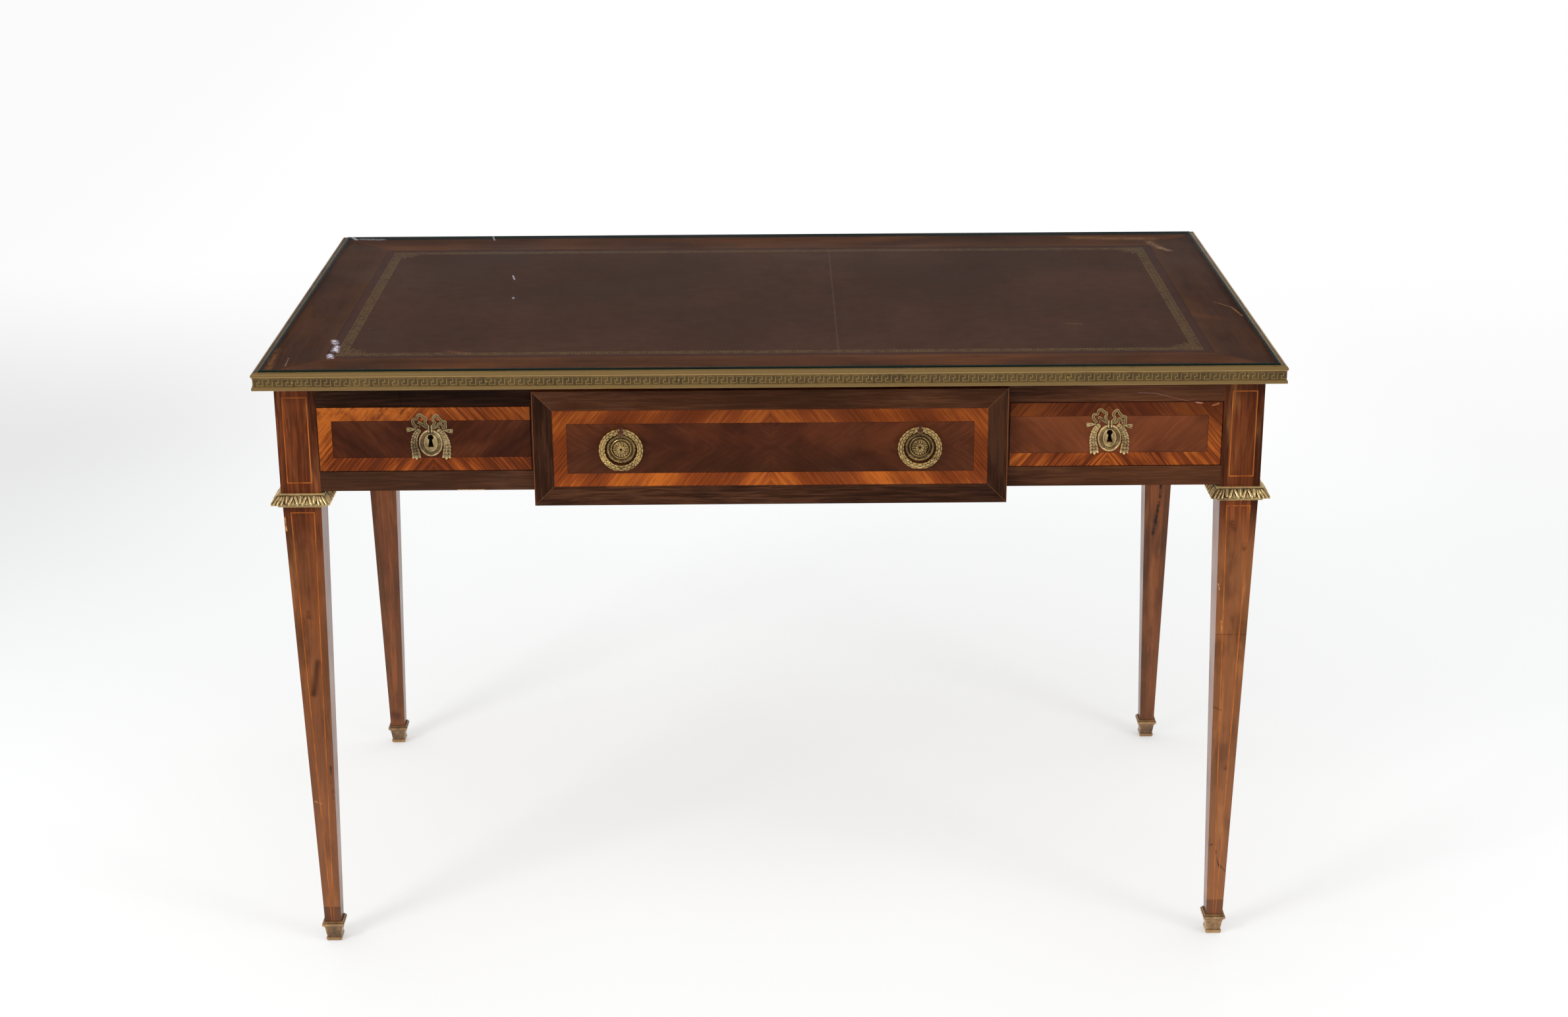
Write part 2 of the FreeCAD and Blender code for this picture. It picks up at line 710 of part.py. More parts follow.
def escutcheon():
    """Right escutcheon: an oval plate with a raised rim under a ribbon bow, garlands and tassels."""
    plate_middle = lower_rail_top + key_rise - escutcheon_oval_drop
    offset = escutcheon_oval_drop
    plate = oval(escutcheon_oval_width, escutcheon_oval_height, escutcheon_thickness, 0)
    rim = oval(escutcheon_oval_width, escutcheon_oval_height, escutcheon_rim_height, escutcheon_thickness)
    rim = rim.cut(oval(escutcheon_oval_width - 2 * escutcheon_rim_width,
                       escutcheon_oval_height - 2 * escutcheon_rim_width, escutcheon_rim_height,
                       escutcheon_thickness))
    inner = oval(escutcheon_inner_width, escutcheon_inner_height, escutcheon_rim_height / 2,
                 escutcheon_thickness)
    shapes = [plate, rim, inner]
    knot = box(-knot_width / 2, knot_width / 2, offset + knot_rise - knot_height / 2,
               offset + knot_rise + knot_height / 2, 0, knot_thickness)
    shapes.append(knot)
    for sign in (-1, 1):
        loop_centre = Vector(sign * bow_loop_reach, offset + bow_loop_rise, 0)
        loop = rod(bow_loop_radius, escutcheon_thickness * 3 / 2, loop_centre, Vector(0, 0, 1))
        hole = rod(bow_loop_radius - bow_wire, escutcheon_thickness * 3 / 2, loop_centre, Vector(0, 0, 1))
        ribbon_end = Vector(sign * knot_width / 2, offset + knot_rise, 0)
        ribbon = prism([ribbon_end, ribbon_end + Vector(0, knot_height / 2, 0),
                        loop_centre + Vector(0, -bow_wire / 2, 0),
                        loop_centre + Vector(sign * bow_wire, -bow_loop_radius + bow_wire / 2, 0)],
                       Vector(0, 0, escutcheon_thickness))
        shapes.append(fuse([loop, ribbon]).cut(hole))
        shapes.append(rod(stud_radius, knot_thickness,
                          Vector(sign * stud_reach, offset + stud_rise, 0), Vector(0, 0, 1)))
        for length, width, reach, rise, tilt in (
                (tassel_length, tassel_width, tassel_reach, tassel_rise, -tassel_tilt),
                (garland_length, garland_width, garland_reach, garland_rise, -garland_tilt),
                (garland_end_length, garland_end_width, garland_end_reach, garland_end_rise,
                 -garland_end_tilt)):
            leaf = oval(length, width, escutcheon_thickness * 3 / 2, 0)
            leaf.rotate(Vector(0, 0, 0), Vector(0, 0, 1), sign * tilt)
            leaf.translate(Vector(sign * reach, offset + rise, 0))
            shapes.append(leaf)
    return stand_up(fuse(shapes), key_place, -front_half, plate_middle)


def side_drawer():
    """Every piece of the right drawer, by name."""
    x0 = divider_outer + side_gap
    x1 = stile_inner - side_gap
    z0 = lower_rail_top + side_gap
    z1 = drawer_front_top
    face = -front_half + veneer
    sides, back, bottom = drawer_box(x0, x1, lock_back)
    outer, case, bolt = lock_pieces()
    wood_hole = keyhole(key_wood_gap, -front_half - veneer, lock_back - lock_depth)
    front = cut(box(x0, x1, face, lock_back, z0, z1), sides + [bottom, outer, wood_hole])
    field = box(x0, x1 - banding_width, -front_half, face, z0 + banding_width,
                z1 - banding_width).cut(wood_hole)
    plate = escutcheon().cut(keyhole(0, -front_half - knot_thickness * 2, -front_half + veneer))
    return {"front": [front], "sides_and_back": sides + [back], "bottom": [bottom],
            "banding": end_banding(x0, x1, z0, z1, face), "field": [field],
            "escutcheon": [plate], "lock_case": [case], "lock_bolt": [bolt]}


for piece, shapes in side_drawer().items():
    if piece in ("escutcheon", "lock_case", "lock_bolt"):
        right_name = piece + "_right"
        left_name = piece + "_left"
    else:
        right_name = "drawer_right_" + piece
        left_name = "drawer_left_" + piece
    save(right_name, *shapes)
    save(left_name, *[mirror_x(shape) for shape in shapes])


# Centre drawer and its pulls

centre_half = divider_inner - side_gap
centre_face = -front_half - centre_front_proud
lap_back = -front_half - stop_gap
plug_back = lap_back + centre_plug_thickness
centre_bottom = frieze_bottom - centre_front_hang
centre_top = underside - centre_front_top_drop
pull_level = (centre_bottom + centre_top) / 2


def ring_pull():
    """Right pull: rosette, eye post and ring. The ring hangs from the eye round the rosette."""
    hinge = Vector(pull_place, centre_face - ring_standoff, pull_level + ring_radius)
    points = [Vector(0, 0, 0)] + [Vector(rosette_radius * reach, -rosette_height * rise, 0)
                                  for reach, rise in rosette_profile_shares]
    rosette = flat_face(points).revolve(Vector(0, 0, 0), Vector(0, 1, 0), 360)
    rosette.translate(Vector(pull_place, centre_face, pull_level))
    nail = rod(rosette_nail_radius, rosette_nail_length, Vector(pull_place, centre_face, pull_level),
               Vector(0, 1, 0))
    ring = Part.makeTorus(ring_radius, ring_wire_radius, Vector(pull_place, hinge.y, pull_level),
                          Vector(0, 1, 0))
    start = Vector(pull_place - eye_width / 2, hinge.y, hinge.z)
    bore = rod(ring_wire_radius + eye_bore_gap, eye_width, start, Vector(1, 0, 0))
    foot_depth = eye_radius - ring_wire_radius - eye_bore_gap
    foot = box(pull_place - eye_width / 2, pull_place + eye_width / 2, centre_face - foot_depth,
               centre_face, hinge.z - eye_foot_height / 2, hinge.z + eye_foot_height / 2)
    stud = rod(eye_stud_radius, plug_back - centre_face + eye_tail_thickness,
               Vector(pull_place, centre_face, hinge.z), Vector(0, 1, 0))
    tail = box(pull_place - eye_tail_width / 2, pull_place + eye_tail_width / 2, plug_back,
               plug_back + eye_tail_thickness, hinge.z - eye_tail_reach, hinge.z + eye_tail_reach)
    eye = fuse([rod(eye_radius, eye_width, start, Vector(1, 0, 0)), foot]).cut(bore)
    return fuse([rosette, nail]), fuse([eye, stud, tail]), ring


rosette, post, ring = ring_pull()
fixings = [rosette, post, mirror_x(rosette), mirror_x(post)]
centre_sides, centre_back, centre_base = drawer_box(-centre_half, centre_half, plug_back)
lap = box(-centre_front_width / 2, centre_front_width / 2, centre_face + veneer, lap_back,
          centre_bottom, centre_top)
plug = box(-centre_half, centre_half, lap_back, plug_back, lower_rail_top + side_gap, drawer_front_top)
border = veneer_frame(-centre_front_width / 2, centre_front_width / 2, centre_bottom, centre_top,
                      centre_face + veneer, centre_border_width)
band_x = centre_front_width / 2 - centre_border_width
band_z0 = centre_bottom + centre_border_width
band_z1 = centre_top - centre_border_width
banding = veneer_frame(-band_x, band_x, band_z0, band_z1, centre_face + veneer, banding_width)
field_x = band_x - banding_width
quarters = []
for x0, x1 in ((-field_x, 0), (0, field_x)):
    for z0, z1 in ((band_z0 + banding_width, pull_level), (pull_level, band_z1 - banding_width)):
        quarters.append(cut(box(x0, x1, centre_face, centre_face + veneer, z0, z1), fixings))

save("drawer_centre_front", cut(fuse([lap, plug]), centre_sides + [centre_base] + fixings))
save("drawer_centre_sides_and_back", *centre_sides, centre_back)
save("drawer_centre_bottom", centre_base)
save("drawer_centre_border", *border)
save("drawer_centre_banding", *banding)
save("drawer_centre_field", *quarters)
save("pull_rosettes", rosette, mirror_x(rosette))
save("pull_posts", post, mirror_x(post))
save("pull_ring_right", ring)
save("pull_ring_left", mirror_x(ring))
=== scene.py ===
"""Looks of a writing desk: its veneers, leather, glass and brass mounts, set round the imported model.

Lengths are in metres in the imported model's own frame: +Z up, the front facing -Y, the floor at Z = 0.
Brass ornament is drawn lying flat on the bench, in millimetres, and is then set up in its place.
"""
import json
import logging
import math
from collections.abc import Callable, Sequence
from dataclasses import dataclass, replace
from enum import Enum

import bmesh
import bpy
from mathutils import Matrix, Vector
from mathutils.bvhtree import BVHTree

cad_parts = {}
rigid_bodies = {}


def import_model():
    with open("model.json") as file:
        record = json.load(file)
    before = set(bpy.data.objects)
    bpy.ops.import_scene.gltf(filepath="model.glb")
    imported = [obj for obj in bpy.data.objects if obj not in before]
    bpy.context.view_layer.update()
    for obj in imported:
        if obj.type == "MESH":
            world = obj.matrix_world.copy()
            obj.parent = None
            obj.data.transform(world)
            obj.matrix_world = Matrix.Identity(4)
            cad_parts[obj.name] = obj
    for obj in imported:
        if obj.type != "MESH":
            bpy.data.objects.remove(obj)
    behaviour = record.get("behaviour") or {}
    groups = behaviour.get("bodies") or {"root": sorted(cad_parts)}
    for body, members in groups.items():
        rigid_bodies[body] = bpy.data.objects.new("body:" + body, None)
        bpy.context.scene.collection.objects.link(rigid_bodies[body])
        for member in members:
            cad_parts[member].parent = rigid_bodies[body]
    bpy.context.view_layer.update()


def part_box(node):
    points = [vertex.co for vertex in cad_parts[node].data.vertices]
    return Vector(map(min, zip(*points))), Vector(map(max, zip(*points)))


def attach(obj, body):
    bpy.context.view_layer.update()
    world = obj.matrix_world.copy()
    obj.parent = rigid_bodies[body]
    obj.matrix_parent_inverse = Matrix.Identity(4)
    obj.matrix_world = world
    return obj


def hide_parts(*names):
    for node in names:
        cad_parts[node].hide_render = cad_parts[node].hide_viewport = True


LOG = logging.getLogger("desk")
MM = 0.001
ORIGIN = Vector((0.0, 0.0, 0.0))
MIRROR = Matrix.Scale(-1, 4, (1, 0, 0))
CORNERS = ("front_left", "front_right", "back_left", "back_right")
RAY_COUNT = 9
RAY_REACH = 2.2 * MM
RAY_START = 0.04 * MM
TINY = 0.01 * MM

Point = tuple[float, float]
StrokePoint = tuple[float, float, float]
Stroke = tuple[StrokePoint, ...]


# Shader expressions

@dataclass(frozen=True)
class Tone:
    """A colour as a screen shows it, each part from 0 to 255."""

    red: float
    green: float
    blue: float

    def linear(self) -> tuple[float, float, float, float]:
        """The colour as a shader takes it, by the sRGB curve.

        Returns:
            Red, green, blue and opacity, from 0 to 1.
        """
        parts = []
        for part in (self.red, self.green, self.blue):
            share = part / 255
            parts.append(share / 12.92 if share <= 0.04045 else ((share + 0.055) / 1.055) ** 2.4)
        return parts[0], parts[1], parts[2], 1.0


WHITE = Tone(255, 255, 255)


def sum_of(operation: str, swapped: bool = False) -> Callable[["Value", "Value | float"], "Value"]:
    """A method of Value for one operation of the Math node.

    Args:
        operation: the operation.
        swapped: whether the other term comes first.
    Returns:
        The method, which takes the other term.
    """
    def method(value: "Value", other: "Value | float") -> "Value":
        """The sum of the value and another."""
        return value.graph.math(operation, *((other, value) if swapped else (value, other)))

    return method


class Value:
    """A number socket that takes part in sums: each operator adds a Math node."""

    def __init__(self, graph: "Graph", link: bpy.types.NodeSocket) -> None:
        """Args: graph is the tree that the socket belongs to, link the socket."""
        self.graph = graph
        self.link = link

    __add__ = sum_of("ADD")
    __radd__ = sum_of("ADD", swapped=True)
    __sub__ = sum_of("SUBTRACT")
    __rsub__ = sum_of("SUBTRACT", swapped=True)
    __mul__ = sum_of("MULTIPLY")
    __rmul__ = sum_of("MULTIPLY", swapped=True)
    __truediv__ = sum_of("DIVIDE")
    __lt__ = sum_of("LESS_THAN")
    __gt__ = sum_of("GREATER_THAN")
    least = sum_of("MINIMUM")
    most = sum_of("MAXIMUM")

    def __abs__(self) -> "Value":
        """Distance from zero."""
        return self.graph.math("ABSOLUTE", self)

    def rise(self, low: float, high: float) -> "Value":
        """A soft step that is 0 below low and 1 above high, or the other way round if low is larger.

        Args:
            low: where the step starts.
            high: where it ends.
        Returns:
            A number from 0 to 1.
        """
        node = self.graph.node("ShaderNodeMapRange", {"interpolation_type": "SMOOTHSTEP"},
                               {"Value": self, "From Min": low, "From Max": high})
        return Value(self.graph, node.outputs["Result"])

    def line(self, place: "Value | float", width: float) -> "Value":
        """1 on a thin line where the value equals place, fading over half its width."""
        return abs(self - place).rise(width, width / 2)

    def cycle(self, pitch: float) -> "Value":
        """The place within a repeat, from minus half a pitch to half a pitch."""
        return self.graph.math("WRAP", self, pitch / 2, -pitch / 2)


class Graph:
    """The node tree of one finish or of the world."""

    def __init__(self, owner: bpy.types.Material | bpy.types.World) -> None:
        """Args: owner is the material or world, whose tree starts empty."""
        owner.use_nodes = True
        self.owner = owner
        self.tree = owner.node_tree
        self.tree.nodes.clear()

    @classmethod
    def named(cls, name: str) -> "Graph":
        """The tree of a new material."""
        return cls(bpy.data.materials.new(name))

    def node(self, kind: str, settings: dict | None = None, inputs: dict | None = None) -> bpy.types.Node:
        """Adds any node.

        Args:
            kind: the node's type.
            settings: its properties, set first. "stops" holds a colour ramp's (place, tone) pairs.
            inputs: values or links by socket name or number.
        Returns:
            The node.
        """
        node = self.tree.nodes.new(kind)
        for key, value in (settings or {}).items():
            if key == "stops":
                self.set_stops(node.color_ramp.elements, value)
            else:
                setattr(node, key, value)
        for key, value in (inputs or {}).items():
            self.feed(node.inputs[key], value)
        return node

    @staticmethod
    def set_stops(elements: bpy.types.bpy_prop_collection, stops: Sequence[tuple[float, Tone]]) -> None:
        """Gives a colour ramp its stops, which rise in place.

        Args:
            elements: the ramp's stops.
            stops: the places and tones that they get.
        """
        while len(elements) < len(stops):
            elements.new(1.0)
        for element, (place, tone) in zip(elements, stops):
            element.position = place
            element.color = tone.linear()

    def feed(self, socket: bpy.types.NodeSocket, value: object) -> None:
        """Links a socket or sets its value.

        Args:
            socket: an input.
            value: a Value, a socket, a Tone or what the input holds by itself.
        """
        if isinstance(value, Value):
            self.tree.links.new(value.link, socket)
        elif isinstance(value, bpy.types.NodeSocket):
            self.tree.links.new(value, socket)
        elif isinstance(value, Tone):
            socket.default_value = value.linear()
        else:
            socket.default_value = value

    def math(self, operation: str, *terms: "Value | float") -> Value:
        """A Math node on up to three terms."""
        node = self.node("ShaderNodeMath", {"operation": operation}, dict(enumerate(terms)))
        return Value(self, node.outputs[0])

    def output(self, kind: str, name: str | int = 0) -> Value:
        """What a node without inputs gives at one of its outputs."""
        return Value(self, self.node(kind).outputs[name])

    def parts(self, kind: str, name: str) -> tuple[Value, Value, Value]:
        """The X, Y and Z parts of a vector that a node without inputs gives."""
        split = self.node("ShaderNodeSeparateXYZ", inputs={0: self.output(kind, name)}).outputs
        return Value(self, split[0]), Value(self, split[1]), Value(self, split[2])

    def rays(self, kind: str) -> Value:
        """1 for light rays of one kind, such as "Camera"."""
        return self.output("ShaderNodeLightPath", f"Is {kind} Ray")

    def place(self) -> tuple[Value, Value, Value]:
        """Where a point lies, in metres along X, Y and Z."""
        return self.parts("ShaderNodeTexCoord", "Object")

    def facing(self) -> tuple[Value, Value, Value]:
        """The way the surface faces, along X, Y and Z."""
        return self.parts("ShaderNodeNewGeometry", "True Normal")

    @staticmethod
    def turned(aside: Value, above: Value, angle: float) -> tuple[Value, Value]:
        """Places along and across a grain that is turned by an angle in degrees.

        Args:
            aside: the place along X or Y.
            above: the place along Z.
            angle: the turn.
        Returns:
            The place along the grain and the place across it.
        """
        turn = math.radians(angle)
        return (aside * math.cos(turn) + above * math.sin(turn),
                above * math.cos(turn) - aside * math.sin(turn))

    def apart(self, aside: Value, above: Value) -> Value:
        """The length of a line that runs so far aside and so far above."""
        return self.math("SQRT", aside * aside + above * above)

    def blend(self, share: "Value | float", first: bpy.types.Node, second: bpy.types.Node) -> bpy.types.Node:
        """A shader that runs from the first to the second as the share goes from 0 to 1."""
        return self.node("ShaderNodeMixShader", None, {0: share, 1: first.outputs[0], 2: second.outputs[0]})

    def noise(self, x: Value, y: Value, z: "Value | float", detail: float = 2.0, roughness: float = 0.5,
              distortion: float = 0.0) -> Value:
        """Cloudy noise about 0.5 with features one unit wide.

        Args:
            x: the place along the first axis, counted in features.
            y: the place along the second.
            z: the place along the third.
            detail: how many finer layers it has.
            roughness: how strong the finer layers are.
            distortion: how far they are bent.
        Returns:
            A number from 0 to 1.
        """
        vector = self.node("ShaderNodeCombineXYZ", inputs={0: x, 1: y, 2: z}).outputs[0]
        node = self.node("ShaderNodeTexNoise", None,
                         {"Vector": vector, "Scale": 1.0, "Detail": detail, "Roughness": roughness,
                          "Distortion": distortion})
        return Value(self, node.outputs["Fac"])

    def mix(self, share: "Value | float", first: object, second: object) -> bpy.types.NodeSocket:
        """A colour that runs from the first to the second as the share goes from 0 to 1.

        Args:
            share: how far it runs to the second.
            first: a colour or its socket.
            second: another one.
        Returns:
            The mixed colour's socket.
        """
        node = self.node("ShaderNodeMix", {"data_type": "RGBA", "clamp_factor": True},
                         {0: share, 6: first, 7: second})
        return node.outputs[2]

    def ramp(self, value: Value, stops: Sequence[tuple[float, Tone]]) -> bpy.types.NodeSocket:
        """A colour looked up from a value."""
        return self.node("ShaderNodeValToRGB", {"stops": stops}, {"Fac": value}).outputs["Color"]

    def bump(self, height: Value, distance: float, strength: float = 1.0) -> bpy.types.NodeSocket:
        """A normal for a surface that rises by distance where height is 1."""
        return self.node("ShaderNodeBump", None,
                         {"Height": height, "Distance": distance, "Strength": strength}).outputs["Normal"]

    def close(self, shader: bpy.types.Node, output: str = "ShaderNodeOutputMaterial") -> bpy.types.ID:
        """Ends the tree with a shader and hands over the material or world that it belongs to.

        Args:
            shader: the node with the shader.
            output: the output node's type.
        Returns:
            The material or world.
        """
        end = self.node(output)
        self.tree.links.new(shader.outputs[0], end.inputs["Surface"])
        return self.owner


@dataclass(frozen=True)
class Mark:
    """A scratch, scuff or worn place, or a patch of painted light, between two points, in millimetres."""

    start: Point
    end: Point
    width: float
    tone: Tone
    share: float = 0.6
    grain: float = 1.2

    def cover(self, graph: Graph, across: Value, along: Value) -> Value:
        """How thickly the mark lies at a place.

        Args:
            graph: the tree to add to.
            across: the place that the points' first number counts, in metres.
            along: the place that their second number counts.
        Returns:
            0 off the mark, and more where it is thick.
        """
        start = Vector(self.start) * MM
        run = Vector(self.end) * MM - start
        aside = across - start.x
        above = along - start.y
        share = (aside * run.x + above * run.y) / run.length_squared
        share = share.most(0.0).least(1.0)
        aside = aside - share * run.x
        above = above - share * run.y
        apart = graph.apart(aside, above)
        grain = self.grain * MM
        rough = graph.noise(across / grain, along / grain, 0.0, 3.0, 0.7)
        return apart.rise(self.width * MM, 0.0) * rough.rise(0.34, 0.6) * self.share * 1.3


def marked(graph: Graph, colour: object, marks: Sequence[Mark], across: Value, along: Value) -> object:
    """Lays marks over a colour, one after another.

    Args:
        graph: the tree to add to.
        colour: what lies under the marks.
        marks: the marks.
        across: the place that their points' first number counts, in metres.
        along: the place that their second number counts.
    Returns:
        The marked colour.
    """
    for mark in marks:
        colour = graph.mix(mark.cover(graph, across, along), colour, mark.tone)
    return colour


# Woods

def give(node: str, material: bpy.types.Material) -> None:
    """Gives a CAD node one material all over.

    Args:
        node: the node's name.
        material: what it gets.
    """
    piece = bpy.data.objects[node]
    for slot in piece.material_slots:
        slot.material = material
    if not piece.material_slots:
        piece.data.materials.append(material)


def middle_of(node: str) -> Vector:
    """The middle of a CAD node's box."""
    low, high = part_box(node)
    return (low + high) / 2


class Lay(Enum):
    """Which way the grain of a veneer or board runs."""

    LENGTHWISE = "along X"
    INWARD = "along Y"
    UPRIGHT = "along Z"
    SLANTED = "at an angle on the front"


class Match(Enum):
    """How a veneer is matched about its centre."""

    PLAIN = "one leaf"
    BOOK = "mirrored left and right"
    QUARTER = "mirrored left and right, and above and below"


@dataclass(frozen=True)
class Laying:
    """How one veneer is laid."""

    lay: Lay
    match: Match = Match.PLAIN
    centre_x: float = 0.0
    centre_z: float = 0.0
    slant: float = 0.0
    shift: float = 0.0

    def axes(self, graph: Graph) -> tuple[Value, Value, Value]:
        """How the places of a surface lie to the grain.

        Args:
            graph: the tree to add to.
        Returns:
            The place along the grain, across it and through it.
        """
        x, y, z = graph.place()
        if self.lay is Lay.INWARD:
            return y + self.shift, x, z
        if self.lay is Lay.LENGTHWISE:
            return x + self.shift, z, y
        if self.lay is Lay.UPRIGHT:
            return z + self.shift, x, y
        aside = x - self.centre_x
        above = z - self.centre_z
        if self.match is not Match.PLAIN:
            aside = abs(aside)
        if self.match is Match.QUARTER:
            above = abs(above)
        along, across = graph.turned(aside, above, self.slant)
        return along + self.shift, across, y


@dataclass(frozen=True)
class Wood:
    """A sort of wood: its tones, the size of its figure in metres and its polish."""

    dark: Tone
    middle: Tone
    light: Tone
    streak: Tone
    band: float
    stretch: float = 14.0
    zone: float = 0.05
    contrast: float = 1.0
    streaks: float = 0.5
    thread: float = 0.0007
    fibre: float = 0.0007
    fibre_length: float = 0.024
    stripe_share: float = 0.34
    zone_share: float = 0.85
    fibre_share: float = 0.34
    streak_share: float = 0.75
    roughness: float = 0.3
    coat: float = 0.12
    coat_roughness: float = 0.14
    shine: float = 0.2
    relief: float = 0.00012

    def figure(self, graph: Graph, along: Value, across: Value, through: Value) -> tuple[object, Value]:
        """Builds the grain.

        Args:
            graph: the tree to add to.
            along: the place along the grain, with across and through it beside it.
            across: the place across the grain.
            through: the place through the veneer.
        Returns:
            The colour and a height from 0 to 1 for the bump.
        """
        drift = graph.noise(along * 9, across * 26, through * 26, 1.0)
        across = across + (drift - 0.5) * (self.band * 1.5)
        zone = graph.noise(along / (self.zone * 2.4), across / self.zone, through / self.zone, 1.0)
        broad = graph.noise(along / (self.band * self.stretch), across / self.band, through / self.band,
                            3.0, 0.55)
        stripe = broad.rise(0.36, 0.64)
        fibre = graph.noise(along / self.fibre_length, across / self.fibre, through / self.fibre, 2.0, 0.6)
        thread = graph.noise(along / (self.thread * 36), across / self.thread, through / self.thread,
                             1.0, 0.5, 0.3)
        level = ((stripe - 0.5) * (self.contrast * self.stripe_share) + (zone - 0.5) * self.zone_share
                 + (fibre - 0.5) * self.fibre_share + 0.5)
        colour = graph.ramp(level, [(0.3, self.dark), (0.5, self.middle), (0.7, self.light)])
        edge = 0.78 - 0.2 * self.streaks
        lines = thread.rise(edge - 0.03, edge + 0.04)
        return graph.mix(lines * self.streak_share, colour, self.streak), fibre * 0.6 + (1 - lines) * 0.4

    def polish(self, graph: Graph, colour: object, height: Value) -> bpy.types.Material:
        """Ends a tree with this wood's polish over a colour and a bump height.

        Args:
            graph: the tree to end.
            colour: the colour under the polish.
            height: the height for the bump.
        Returns:
            The material.
        """
        x, y, z = graph.place()
        film = graph.noise(x * 18, y * 18, z * 18, 3.0)
        shader = graph.node("ShaderNodeBsdfPrincipled", None, {
            "Base Color": colour, "Roughness": self.roughness + (film - 0.5) * 0.22,
            "Coat Weight": self.coat, "Coat Roughness": self.coat_roughness, "Specular IOR Level": self.shine,
            "Normal": graph.bump(height, self.relief, 0.6)})
        return graph.close(shader)

    def sheet(self, name: str, laying: Laying) -> bpy.types.Material:
        """A material with one veneer all over.

        Args:
            name: the material's name.
            laying: how the veneer is laid.
        Returns:
            The material.
        """
        graph = Graph.named(name)
        colour, height = self.figure(graph, *laying.axes(graph))
        return self.polish(graph, colour, height)


DARK_VENEER = Wood(Tone(38, 19, 10), Tone(60, 33, 19), Tone(86, 52, 32), Tone(26, 13, 7),
                   0.0026, 18.0, 0.07, 0.6, 0.4)
FIELD_VENEER = Wood(Tone(52, 22, 11), Tone(73, 34, 17), Tone(100, 50, 26), Tone(44, 20, 11),
                    0.0045, 7.0, 0.04, 0.4, 0.5)
TULIPWOOD = Wood(Tone(92, 37, 9), Tone(144, 64, 15), Tone(204, 106, 28), Tone(62, 25, 8),
                 0.003, 22.0, 0.05, 0.8, 0.6)
LEG_WOOD = Wood(Tone(80, 36, 14), Tone(106, 50, 21), Tone(136, 70, 32), Tone(62, 28, 11),
                0.0036, 18.0, 0.06, 0.6, 0.3)
LEG_EDGE = Wood(Tone(60, 28, 13), Tone(87, 41, 19), Tone(113, 57, 28), Tone(48, 22, 10),
                0.0028, 18.0, 0.04, 0.6, 0.45)
BORDER_WOOD = Wood(Tone(74, 38, 15), Tone(94, 50, 23), Tone(120, 66, 30), Tone(54, 27, 11),
                   0.005, 16.0, 0.07, 0.5, 0.3, roughness=0.45, coat=0.0, shine=0.06)
OAK = Wood(Tone(128, 94, 60), Tone(156, 119, 79), Tone(182, 145, 102), Tone(108, 76, 48),
           0.0022, 30.0, 0.12, 0.7, 0.4, roughness=0.6, coat=0.0, shine=0.12)
STRING_WOOD = Wood(Tone(138, 72, 22), Tone(160, 86, 28), Tone(180, 100, 36), Tone(120, 60, 18),
                   0.02, 2.0)


@dataclass(frozen=True)
class LegAge:
    """How one leg has aged, and how much painted shade its stile takes."""

    seed: float
    faded: float
    shaded: float
    cuffed: float
    marks: tuple[Mark, ...] = ()


LEFT_MARKS = (
    Mark((-583.8, 577), (-582.8, 561), 1.5, Tone(206, 148, 90), 0.9, 6.0),
    Mark((-557.2, 388), (-565, 345), 6.4, Tone(38, 20, 12), 0.8, 300.0),
    Mark((-550.8, 246), (-549.8, 202), 2.6, Tone(36, 20, 14), 0.8, 40.0),
    Mark((-564.6, 454), (-564.6, 448), 5.0, Tone(52, 28, 17), 0.5, 6.0),
    Mark((-573.8, 198.3), (-564.5, 194.4), 1.2, Tone(196, 140, 96), 0.5, 4.0),
    Mark((-565, 590), (-566, 545), 20.0, Tone(70, 38, 24), 0.34, 20.0))
RIGHT_MARKS = (
    Mark((555.8, 562), (557, 554), 8.0, Tone(66, 36, 20), 0.5, 10.0),
    Mark((571.5, 533), (571.5, 528), 5.0, Tone(66, 36, 20), 0.5, 8.0),
    Mark((542.8, 482.6), (544.8, 474.9), 1.1, Tone(214, 170, 120), 0.6, 3.0),
    Mark((540, 415.8), (584, 415.5), 0.9, Tone(48, 26, 15), 0.6, 6.0),
    Mark((549.5, 432.7), (551.1, 418.5), 2.4, Tone(204, 140, 78), 0.5, 6.0),
    Mark((558, 122), (564.6, 95), 1.8, Tone(44, 24, 14), 0.75, 6.0),
    Mark((565.3, 98), (572.4, 89.4), 1.6, Tone(44, 24, 14), 0.6, 6.0),
    Mark((565, 237), (565, 233), 3.6, Tone(62, 34, 20), 0.6, 5.0),
    Mark((546.1, 223), (547.4, 205), 2.0, Tone(58, 32, 19), 0.6, 6.0),
    Mark((547.3, 125.6), (555.1, 127.5), 1.6, Tone(34, 19, 12), 0.8, 4.0),
    Mark((546, 318), (555, 314), 2.6, Tone(72, 42, 26), 0.5, 5.0))
SPOT_MARKS = (Mark((-566, 46), (-563, 44), 11.0, Tone(58, 27, 16), 0.8, 300.0),)
KNOT_MARKS = (
    Mark((567, 420), (565, 374), 3.4, Tone(22, 10, 6), 0.8, 12.0),
    Mark((565, 374), (558, 326), 4.2, Tone(20, 9, 6), 0.85, 12.0))


